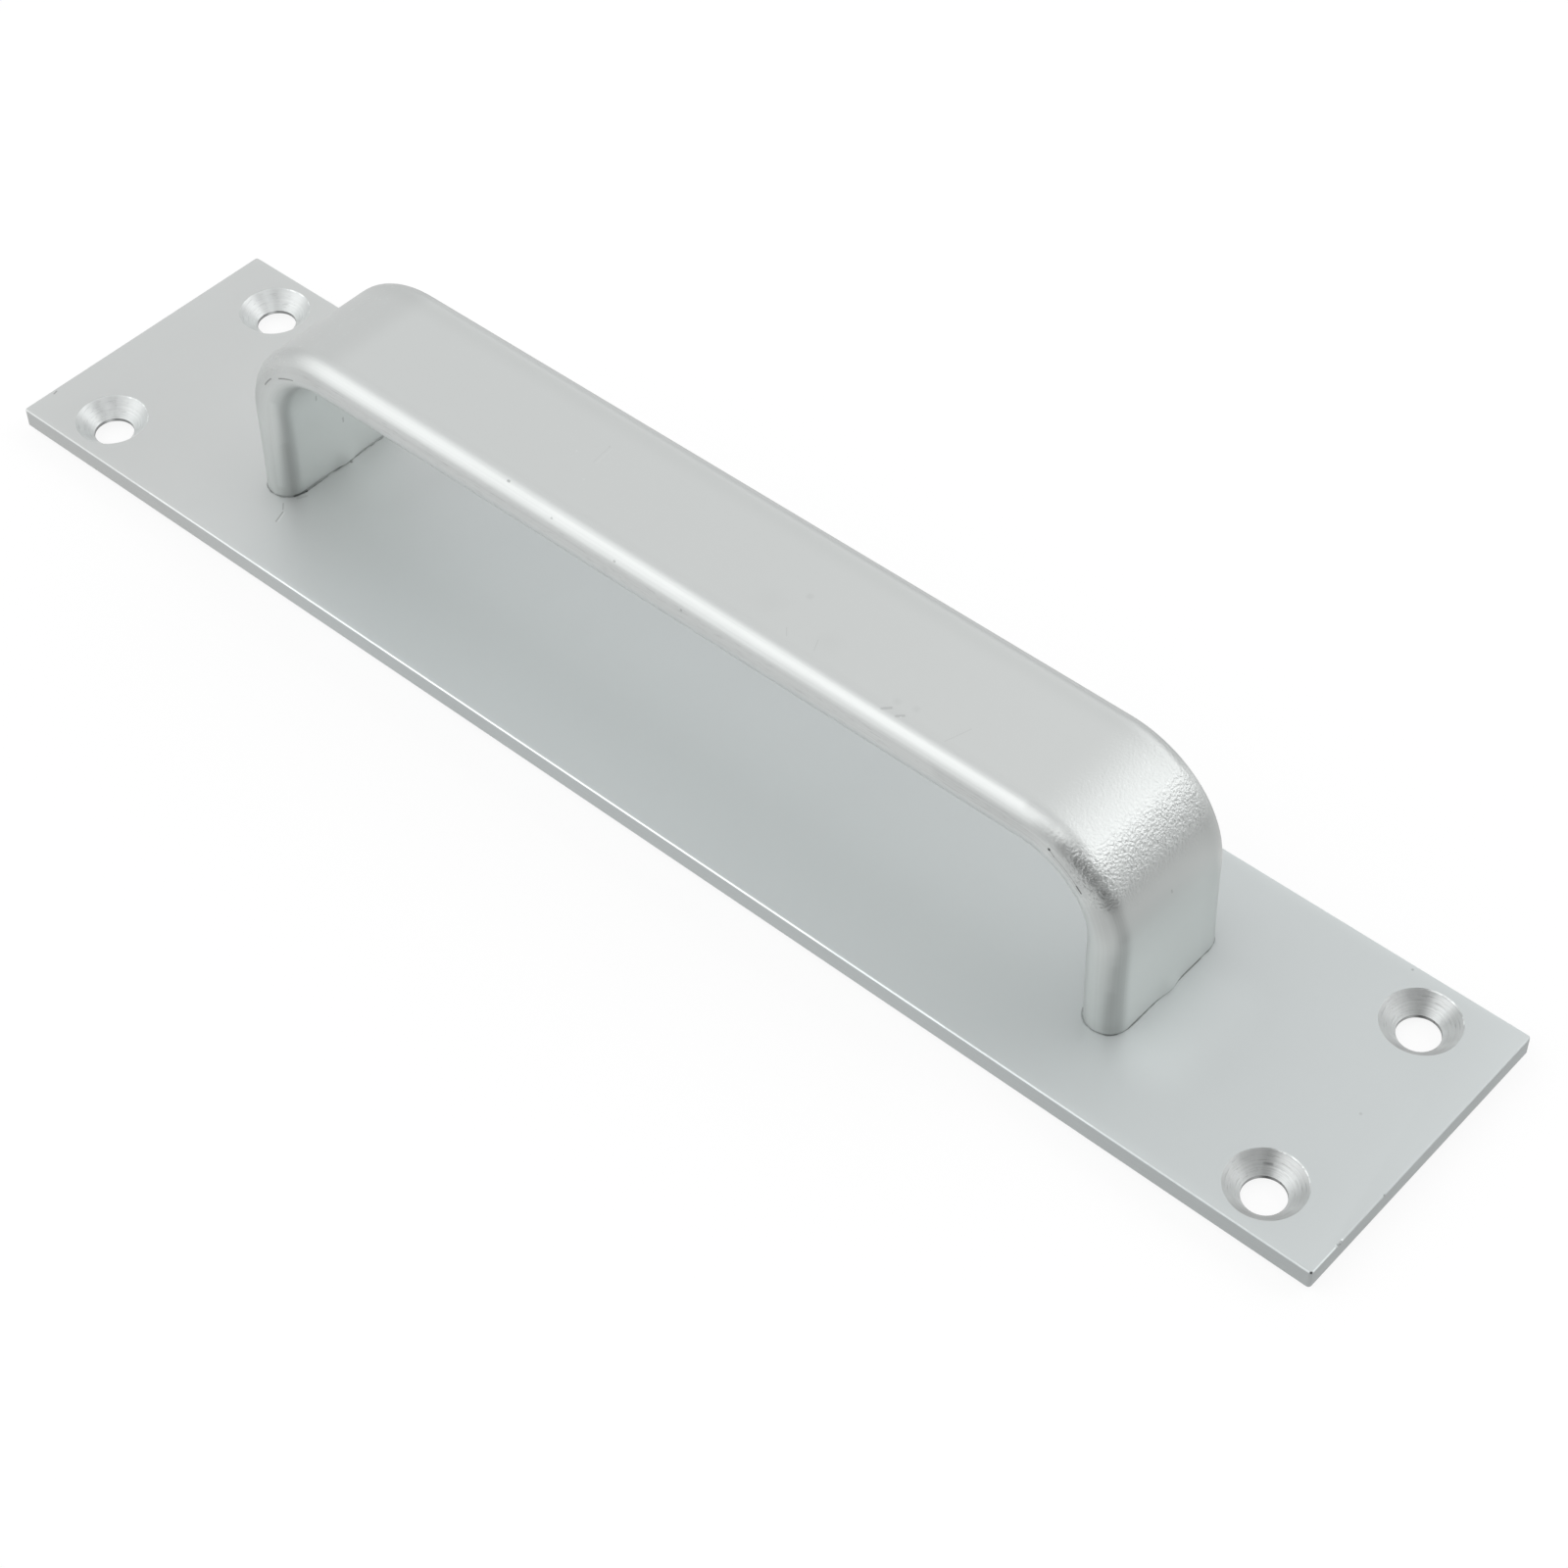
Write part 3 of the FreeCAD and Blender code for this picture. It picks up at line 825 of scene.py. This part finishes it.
lit_patches = (
    ((72.0, -8.0, 3.5), (72.0, 2.0, 3.5), 3.5, 3.0, -0.06), ((-72.0, 4.0, 3.5), (-72.0, 8.0, 3.5), 3.5, 3.0, -0.07),
    ((-56.0, 0.0, 3.5), (-56.0, 8.0, 3.5), 3.0, 3.0, -0.05))
# Lighter lines along the front, right and back rims: partly bare worn metal, partly painted highlight.
worn_rims_and_painted_highlight = (
    ((-99.8, -19.95, 3.45), (99.6, -19.95, 3.45), 0.1, 0.05, -0.16), ((-76.0, -19.95, 3.45), (72.0, -19.95, 3.45), 0.1, 0.05, -0.12),
    ((-56.0, -19.95, 3.45), (52.0, -19.95, 3.45), 0.1, 0.05, -0.12), ((-34.0, -19.95, 3.45), (36.0, -19.95, 3.45), 0.1, 0.05, -0.12),
    ((-6.0, -19.95, 3.45), (34.0, -19.95, 3.45), 0.1, 0.05, -0.14),
    ((99.95, -19.5, 3.45), (99.95, -15.8, 3.45), 0.1, 0.05, -0.34),
    ((-99.8, 19.95, 3.45), (99.8, 19.95, 3.45), 0.1, 0.05, -0.26))
tree, shader, spot = start_material("plate_aluminium", Metallic=0.7)
across_plate = spot.part("X")
cool = across_plate.smooth(-80.0, -35.0)
tone = mix_colours(tree, cool, (0.618, 0.634, 0.629, 1), (0.600, 0.632, 0.634, 1))
cloud = noise(tree, spot, 0.07, 3.0)
on_side = across_plate.maths("ABSOLUTE").above(99.82).maths("MAXIMUM", spot.part("Y").maths("ABSOLUTE").above(19.82))
sawn = on_side * spot.part("Z").below(3.33)
back = spot.part("Z").below(1.001)
saw_lines = noise(tree, spot.vector("MULTIPLY", (0.25, 0.25, 9.0)), 1.0, 3.0)
# Painted shade round the legs: the seam line, grime and painted contact shade, and a soft painted shade.
seam = group(tree, "foot_grime", "Seam", Position=spot, Seam_Width=0.11)
shade = group(tree, "foot_grime", "Shade", Position=spot, Shade_Width=1.6)
# The darkening total holds real marks and wear together with painted shade and painted light; a minus amount paints
# lighter.
dirt_and_painted_light = mark_total(tree, spot, plate_marks_and_painted_seam_shade + worn_rims_and_painted_highlight + lit_patches, seam * 0.3 + shade * 0.05)
# Sawn sides: darker, with lines along the cut, and painted light that makes them lighter towards the left end.
saw_shade = saw_lines.between(0.18, 0.3) - across_plate.smooth(-20.0, -100.0) * 0.07
# Painted shade: the face darker towards both ends.
ends = across_plate.maths("ABSOLUTE").smooth(40.0, 92.0)
dirt_and_painted_light = dirt_and_painted_light + sawn * saw_shade + (cloud - 0.5) * 0.03 + ends * 0.09 - 0.05
# Painted light: a lighter strip along the front of the face, stronger towards the left and away from the ends.
painted_light_front_strip = spot.part("Y").smooth(-7.0, -19.0) * (ends * -1.0 + 1.0) * across_plate.smooth(60.0, -40.0).between(0.6, 1.2)
dirt_and_painted_light = dirt_and_painted_light - painted_light_front_strip * (sawn * -1.0 + 1.0) * 0.075
grain = group(tree, "blasted_grain", "Height", Position=spot, Grain_Size=0.3, Depth=0.003)
relief = grain + sawn * saw_lines * 0.012 + back * saw_lines * 0.002 - seam * 0.03
finish(tree, shader, darken(tree, tone, dirt_and_painted_light), relief, sawn.maths("MULTIPLY_ADD", 0.08, cloud.between(0.47, 0.53)))

# %% [markdown]
# ## The countersinks
# A countersink is cut after anodising, so its cone is bright bare metal with rings from the
# cutter. The rings run round the hole, which makes the cone reflect in wedges, light and dark. On
# each cone one wedge is also painted darker and one lighter, as painted reflection. The two
# right-hand cones get painted shade on their front side, each rim gets a painted highlight on its
# back side, and soft patches of painted shade and painted light sit on the cones. The short
# straight land under the cone is in its own shadow and looks dark.

# %% Countersink finish
# Soft patches of painted shade and painted light on the cones, and two small dark spots.
cone_spots_and_painted_light = (
    ((88.7, -11.6, 1.7), (88.0, -10.2, 3.1), 0.7, 0.7, 0.14), ((87.9, -11.25, 2.35), (88.6, -10.85, 2.35), 0.12, 0.15, 0.3),
    ((91.6, -10.3, 3.1), (93.2, -12.2, 2.7), 1.1, 1.0, 0.15), ((93.2, 15.2, 2.6), (92.4, 16.6, 2.6), 1.0, 1.0, 0.12),
    ((88.9, 16.5, 1.7), (88.4, 17.9, 3.1), 0.7, 0.7, 0.15), ((87.9, 15.0, 1.9), (86.3, 15.8, 3.1), 0.7, 0.7, -0.14),
    ((-92.2, -16.4, 2.2), (-91.4, -17.0, 2.2), 0.9, 0.9, 0.12), ((-91.9, -11.5, 2.2), (-91.3, -11.4, 2.2), 0.12, 0.12, 0.2))
tree, shader, spot = start_material("countersink_aluminium", Metallic=0.8, Anisotropic=0.35)
folded = spot.vector("ABSOLUTE").vector("SUBTRACT", (90.0, 14.0, 0.0)).vector("MULTIPLY", (1.0, 1.0, 0.0))
ring = folded.vector("LENGTH", output="Value")
sides = xyz(tree, spot.part("X").maths("SIGN"), spot.part("Y").maths("SIGN"), 1.0)
signed = folded.vector("MULTIPLY", sides)
feed(tree, shader.inputs["Tangent"], signed.vector("NORMALIZE"))
around = signed.part("Y").maths("ARCTAN2", signed.part("X"))
turned_rings = noise(tree, xyz(tree, ring * 6.0, around * 0.4, 0.0), 1.0, 3.0)
chatter = noise(tree, spot, 1.6, 3.0)
dashes = noise(tree, xyz(tree, ring * 8.0, around * 2.2, spot.part("X") * 0.02), 1.0, 2.0).smooth(0.6, 0.68)
# Painted highlight: a bright line on the back side of each rim, broken up in patches.
faces_back = signed.vector("DOT_PRODUCT", (0.3, 0.95, 0.0), output="Value") / ring
rim_painted_highlight = ring.smooth(4.42, 4.52) * faces_back.smooth(0.6, 0.85) * chatter.smooth(0.4, 0.6)
# Painted shade: the front side of the two right-hand cones darker.
faces_down = signed.vector("DOT_PRODUCT", (0.5, -0.86, 0.0), output="Value") / ring
right_end = spot.part("X").above(0.0)
painted_shade_side = faces_down.smooth(0.45, 0.95) * right_end
# Painted reflection: on each cone one wedge painted darker, most on the right-hand cones, and one painted lighter, most
# on the left-hand ones.
wedge_turn = around + right_end * 0.23
painted_dark_wedge = (wedge_turn - 2.32).maths("ABSOLUTE").smooth(0.36, 0.0) * right_end.between(0.02, 0.15)
painted_light_wedge = (wedge_turn - right_end.between(2.68, 2.78)).maths("ABSOLUTE").smooth(0.36, 0.0) * right_end.between(0.42, 0.15)
land = ring.below(2.53) * spot.part("Z").below(1.42)
tone = mix_colours(tree, chatter, (0.61, 0.63, 0.63, 1), (0.66, 0.675, 0.67, 1))
dirt_and_painted_light = land * 0.6 + (turned_rings - 0.5) * 0.24 + dashes * 0.16 + painted_shade_side * 0.34 - rim_painted_highlight * 0.35
dirt_and_painted_light = dirt_and_painted_light + painted_dark_wedge - painted_light_wedge
dirt_and_painted_light = mark_total(tree, spot, cone_spots_and_painted_light, dirt_and_painted_light)
finish(tree, shader, darken(tree, tone, dirt_and_painted_light), turned_rings * 0.035 + chatter * 0.02, chatter.between(0.38, 0.48))

# %% [markdown]
# ## The bow's finish
# The bar keeps the fine lines of its extrusion on the round sides. Bending stretches the skin on
# the outside of each bend, and stretched aluminium goes coarse there: short ripples across the
# bar, called orange peel. On the inner side of the round edge the die left hair-thin creases. The
# pattern has to follow the bar round its bends, so it reads the two attributes that the sweep
# stored: the distance along the bar and the place in its section. The same places carry painted
# light and painted shade on the bends, along the round edges and on the legs.

# %% Places on the bar
tree, shader, spot = start_material("bow_aluminium", Metallic=0.7)
bar_length = 165.89
along = field(tree, "ShaderNodeAttribute", output="Fac", attribute_name="along") / mm
across = field(tree, "ShaderNodeAttribute", output="Vector", attribute_name="across").vector(
    "SCALE", (0, 0, 0), (0, 0, 0), 1 / mm)
from_middle = along - bar_length / 2
outward = across.part("X") * -1.0
bar_spot = xyz(tree, from_middle, outward, across.part("Y"))
from_centre = from_middle.maths("ABSOLUTE")
on_bend = from_centre.smooth(51.5, 58.0) * from_centre.smooth(67.0, 63.5)
on_grip = from_centre.smooth(58.0, 52.0)
front = across.part("Y") * -1.0
print("bar", bar_length, "mm long")

# %% Orange peel and extrusion lines
most = (from_centre + front.smooth(7.0, 9.0) * 1.2).smooth(58.3, 61.8) * from_centre.smooth(65.5, 62.8)
outer_side = outward.smooth(-1.2, 1.0)
stretched = (on_bend * 0.2 + most * 0.8) * outer_side
ripples = noise(tree, bar_spot.vector("MULTIPLY", (3.9, 3.4, 2.9)), 1.0, 1.0)
coarse = noise(tree, bar_spot.vector("MULTIPLY", (1.3, 1.0, 0.7)), 1.0, 2.0)
peel = stretched * (ripples - 0.5) * coarse.between(0.1, 0.25)
flecks = on_bend * outer_side * noise(tree, bar_spot.vector("MULTIPLY", (2.6, 2.0, 1.8)), 1.0, 2.0).smooth(0.63, 0.72)
on_edge = across.part("Y").maths("ABSOLUTE").smooth(7.4, 8.6)
die_lines = noise(tree, bar_spot.vector("MULTIPLY", (0.02, 5.0, 5.0)), 1.0, 2.0)
lines = on_edge * (die_lines - 0.5) * 0.02
# Masks for painted shade on the top towards its back edge and on a line along the back round edge.
back_edge = across.part("Y").smooth(4.5, 7.5) * outward.smooth(-1.5, 0.5)
back_line = across.part("Y").smooth(8.5, 8.95) * outward.smooth(1.0, 1.6)
# The band under the front highlight on the grip, painted darker as painted shade, and the shoulder above the highlight,
# painted lighter as painted highlight.
under_light = on_grip * front.above(7.0) * outward.smooth(1.65, 0.95) * outward.smooth(-1.0, 0.3)
over_light = on_grip * front.smooth(7.0, 7.6) * front.smooth(8.8, 8.1) * outward.above(0.0)
scuffs = noise(tree, bar_spot.vector("MULTIPLY", (0.6, 6.0, 6.0)), 1.0, 2.0).smooth(0.56, 0.7)
left_leg = spot.part("X").below(0.0)
right_leg = left_leg * -1.0 + 1.0
# Painted shade on the outside of the left bend and just past both bends; painted highlight on the outside of the right
# bend.
left_bend = left_leg * from_centre.smooth(50.0, 57.0) * from_centre.smooth(72.0, 66.0) * outer_side
left_bend = left_bend * front.smooth(9.3, 7.4).between(0.65, 1.0)
right_bend = right_leg * (from_centre - 60.5).maths("ABSOLUTE").smooth(2.4, 0.2) * outer_side
right_bend = right_bend * front.smooth(8.9, 8.0)
bend_end = from_centre.smooth(70.0, 65.5) * 0.155 + from_centre.smooth(80.0, 70.0) * 0.04
after_bend = from_centre.smooth(62.0, 65.0) * outer_side * bend_end

# %% Creases, marks and painted light of the bow
creases = (
    ((-63.9, 0.25, -9.88), (-61.8, 0.25, -9.88), 0.09, 0.06, 0.45), ((-60.1, -0.15, -9.89), (-57.2, -0.45, -9.86), 0.09, 0.06, 0.5),
    ((56.7, 0.7, -9.85), (56.7, 0.7, -9.85), 0.17, 0.07, 0.6), ((56.7, 0.7, -9.85), (57.5, 0.45, -9.86), 0.08, 0.06, 0.32),
    ((57.5, 0.45, -9.86), (62.2, 0.28, -9.88), 0.06, 0.05, 0.28), ((61.3, 0.26, -9.88), (62.15, 0.3, -9.88), 0.1, 0.06, 0.45),
    ((56.9, 0.2, -9.88), (62.6, -0.1, -9.89), 0.05, 0.05, 0.14))
# Specks, smudges and fine scratches; at the left foot a dark seam line of grime and painted contact shade; and long
# soft marks down the noses of the legs, painted shade and painted light.
bow_specks_and_painted_light = (
    ((-22.3, -8.32, 29.77), (-22.15, -8.32, 29.77), 0.15, 0.09, 0.42), ((-14.79, -9.13, 29.22), (-14.7, -9.13, 29.22), 0.12, 0.08, 0.3),
    ((-4.92, -9.37, 28.94), (-4.8, -9.37, 28.94), 0.12, 0.08, 0.34), ((5.41, -9.73, 28.3), (5.5, -9.73, 28.3), 0.12, 0.08, 0.3),
    ((32.6, -7.85, 30.0), (33.35, -7.15, 30.0), 0.16, 0.1, 0.2), ((34.5, -7.7, 30.0), (35.1, -7.15, 30.0), 0.16, 0.1, 0.2),
    ((34.95, -7.5, 30.0), (34.95, -7.5, 30.0), 0.09, 0.05, -0.2), ((33.2, -6.05, 30.0), (33.2, -6.05, 30.0), 0.4, 0.35, 0.05),
    ((35.5, -5.55, 30.0), (35.5, -5.55, 30.0), 0.4, 0.35, 0.05), ((40.7, -7.15, 30.0), (41.7, -4.0, 30.0), 0.06, 0.06, 0.08),
    ((-17.0, 0.1, 30.0), (-17.3, 2.9, 30.0), 0.06, 0.06, 0.06), ((-16.6, 0.1, 30.0), (-16.9, 2.9, 30.0), 0.06, 0.06, -0.04),
    ((-17.35, 3.1, 30.0), (-17.35, 3.1, 30.0), 0.12, 0.08, 0.1), ((-19.7, 0.15, 30.0), (-19.7, 0.15, 30.0), 0.14, 0.1, -0.06),
    ((-15.8, -2.74, 30.0), (-15.8, -2.74, 30.0), 0.14, 0.1, -0.05), ((15.85, -0.18, 30.0), (15.85, -0.18, 30.0), 0.4, 0.3, 0.06),
    ((17.1, -5.45, 30.0), (17.9, -6.35, 30.0), 0.06, 0.05, 0.08), ((20.9, -4.6, 30.0), (21.6, -6.1, 30.0), 0.06, 0.05, 0.08),
    ((13.0, -3.5, 30.0), (13.0, -3.5, 30.0), 1.5, 1.5, 0.02), ((22.0, -4.0, 30.0), (22.0, -4.0, 30.0), 1.2, 1.2, 0.02),
    ((-61.3, -3.49, 16.2), (-61.3, -3.49, 16.8), 0.12, 0.07, 0.3), ((-61.35, 0.2, 10.2), (-61.35, 0.2, 10.8), 0.12, 0.07, 0.3),
    ((66.28, -0.47, 19.4), (66.22, -0.47, 19.65), 0.12, 0.07, 0.2), ((-62.2, -9.2, 19.0), (-62.9, -9.6, 5.5), 0.45, 0.4, -0.1),
    ((-61.9, -8.75, 12.0), (-61.9, -8.75, 4.5), 0.45, 0.4, 0.07),
    ((-61.9, -8.45, 3.55), (-61.5, -6.9, 3.55), 0.13, 0.08, 0.5), ((-61.5, -6.9, 3.55), (-61.5, -4.5, 3.55), 0.07, 0.06, 0.4),
    ((-61.24, 0.3, 3.55), (-61.24, 0.4, 3.55), 0.14, 0.07, 0.5), ((65.9, -9.1, 14.5), (65.6, -9.35, 4.5), 0.45, 0.45, 0.05),
    ((65.7, -9.3, 10.0), (65.6, -9.35, 4.5), 0.55, 0.55, 0.07))
# Soft patches of painted shade and painted light round the bends, set along the bar.
bend_painted_light_and_shade = (
    ((59.2, 2.55, -7.9), (61.0, 2.55, -7.9), 0.4, 0.4, -0.14), ((-56.0, -1.3, -9.5), (-46.0, -1.5, -9.4), 0.6, 0.6, -0.09),
    ((42.0, 0.8, -9.8), (56.0, 0.6, -9.84), 0.7, 0.7, 0.07), ((58.0, 0.9, -9.75), (61.5, 0.9, -9.75), 1.0, 0.9, 0.15),
    ((53.0, 2.45, -8.3), (55.5, 2.4, -8.4), 0.5, 0.5, 0.14),
    ((54.8, 1.9, -9.1), (57.4, 1.94, -9.06), 0.6, 0.6, 0.08),
    ((57.8, 1.94, -9.06), (64.0, 2.2, -8.7), 0.7, 0.65, 0.14), ((59.4, 1.75, -9.15), (62.9, 2.1, -8.82), 0.5, 0.5, 0.22),
    ((63.8, 2.2, -8.7), (68.0, 2.4, -8.3), 0.6, 0.6, 0.1))
crease = mark_total(tree, bar_spot, creases)
dirt_and_painted_light = mark_total(tree, spot, bow_specks_and_painted_light, mark_total(tree, bar_spot, bend_painted_light_and_shade, crease))
# At the feet: the seam line, grime and painted contact shade, darker on the left leg, and a soft painted shade.
seam = group(tree, "foot_grime", "Seam", Position=spot, Seam_Width=0.1)
shade = group(tree, "foot_grime", "Shade", Position=spot, Shade_Width=0.8)
dirt_and_painted_light = dirt_and_painted_light + seam * left_leg.between(0.3, 0.6) + shade * 0.04

# %% Bow finish
cloud = noise(tree, spot, 0.08, 3.0)
leg_share = spot.part("Z").smooth(27.0, 15.0)
off_edge = across.part("Y").maths("ABSOLUTE").smooth(8.6, 7.0)
inside_left = left_leg * off_edge * outward.smooth(-1.2, -2.4) * leg_share
outside_right = right_leg * off_edge * outward.smooth(0.5, 2.2) * spot.part("Z").smooth(19.0, 12.0)
# Painted light: the legs get a lighter, slightly greener copy of the metal colour.
tone = mix_colours(tree, leg_share, (0.613, 0.632, 0.626, 1), (0.634, 0.662, 0.650, 1))
# The round edges of the legs darker; painted light on the inner face of the left leg and the outer face of the right
# leg; lighter flecks in the orange peel.
dirt_and_painted_light = dirt_and_painted_light + leg_share * on_edge * 0.1 - inside_left * 0.17 - outside_right * 0.09 - flecks * 0.07
# Painted shade along the back edge, on the back round edge and in the band under the front highlight; painted highlight
# on the shoulder above it.
dirt_and_painted_light = dirt_and_painted_light + back_edge * 0.045 + back_line * 0.2 + under_light * 0.09 - over_light * 0.06
# Painted shade past the bends and on the outside of the left bend; painted highlight on the outside of the right bend.
dirt_and_painted_light = dirt_and_painted_light + after_bend * right_leg.maths("MAXIMUM", across.part("Y").smooth(-6.0, 4.0))
dirt_and_painted_light = dirt_and_painted_light + left_bend * 0.21 - right_bend * 0.13
# Painted shade: the brightest part of the front highlight toned down a little.
dirt_and_painted_light = dirt_and_painted_light + on_grip * front.smooth(8.2, 9.0) * 0.015
dirt_and_painted_light = dirt_and_painted_light + on_edge * (die_lines - 0.5) * under_light.between(0.1, 0.25) + under_light * scuffs * 0.12
# Painted highlight: a lighter band on the front round edge below the highlight, strongest towards the left.
dirt_and_painted_light = dirt_and_painted_light - on_grip * front.above(7.0) * (outward - 1.65).maths("ABSOLUTE").smooth(0.55, 0.05) * (
    from_middle.smooth(36.0, 6.0).between(0.01, 0.07))
grain = group(tree, "blasted_grain", "Height", Position=spot, Grain_Size=0.3, Depth=0.004)
relief = grain + peel + lines - crease * 0.03
finish(tree, shader, darken(tree, tone, dirt_and_painted_light + (cloud - 0.5) * 0.02), relief, cloud.between(0.37, 0.43))

# %% [markdown]
# ## Screws and tape
# The screws are zinc-plated steel: bright, slightly blue and yellow in patches, with painted shade
# down in the thread and the recess. The tape is black foam between two glossy films of
# adhesive, so its cut edge is matt and full of cells and its faces are smoother.

# %% Zinc finish
tree, shader, spot = start_material("zinc_steel", Metallic=1.0)
folded = spot.vector("ABSOLUTE").vector("SUBTRACT", (64.0, 0.0, 0.0)).vector("MULTIPLY", (1.0, 1.0, 0.0))
from_axis = folded.vector("LENGTH", output="Value")
patches = noise(tree, spot, 0.9, 3.0)
tone = mix_colours(tree, patches.smooth(0.35, 0.65), (0.58, 0.60, 0.64, 1), (0.66, 0.64, 0.58, 1))
# Painted shade: darker down in the thread and in the recess.
in_thread = spot.part("Z").above(3.2) * from_axis.smooth(2.0, 1.62)
in_recess = from_axis.below(2.3) * spot.part("Z").smooth(1.12, 2.2) * spot.part("Z").below(3.19)
grain = group(tree, "blasted_grain", "Height", Position=spot, Grain_Size=0.15, Depth=0.004)
finish(tree, shader, darken(tree, tone, in_thread * 0.45 + in_recess * 0.5), grain, patches.between(0.26, 0.42))

# %% Tape finish
tree, shader, spot = start_material("foam_tape", Metallic=0.0)
cells = field(tree, "ShaderNodeTexVoronoi", {"Vector": spot, "Scale": 5.0}, output="Distance")
in_foam = spot.part("Z").smooth(0.13, 0.18) * spot.part("Z").smooth(0.87, 0.82)
smears = noise(tree, spot.vector("MULTIPLY", (0.15, 1.0, 1.0)), 0.5, 3.0)
tone = mix_colours(tree, smears, (0.075, 0.075, 0.082, 1), (0.12, 0.12, 0.125, 1))
relief = in_foam * cells * 0.08 + smears * 0.02
finish(tree, shader, darken(tree, tone, in_foam * (cells * -0.6 + 0.35)), relief,
       in_foam.maths("MULTIPLY_ADD", 0.5, smears.between(0.28, 0.45)))

# %% [markdown]
# ## Hand over the pieces
# Each piece rides on the one body of the handle, and the solid that it stands for is hidden.

# %% Rides, and the solids hidden
for piece, node_name, slot_name in (
        (bow, "bow_handle", "bow_aluminium"), (plate, "back_plate", "plate_aluminium"),
        (screws, "leg_screws", "zinc_steel"), (tape, "adhesive_pad", "foam_tape")):
    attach(piece, "root")
    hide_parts(node_name)
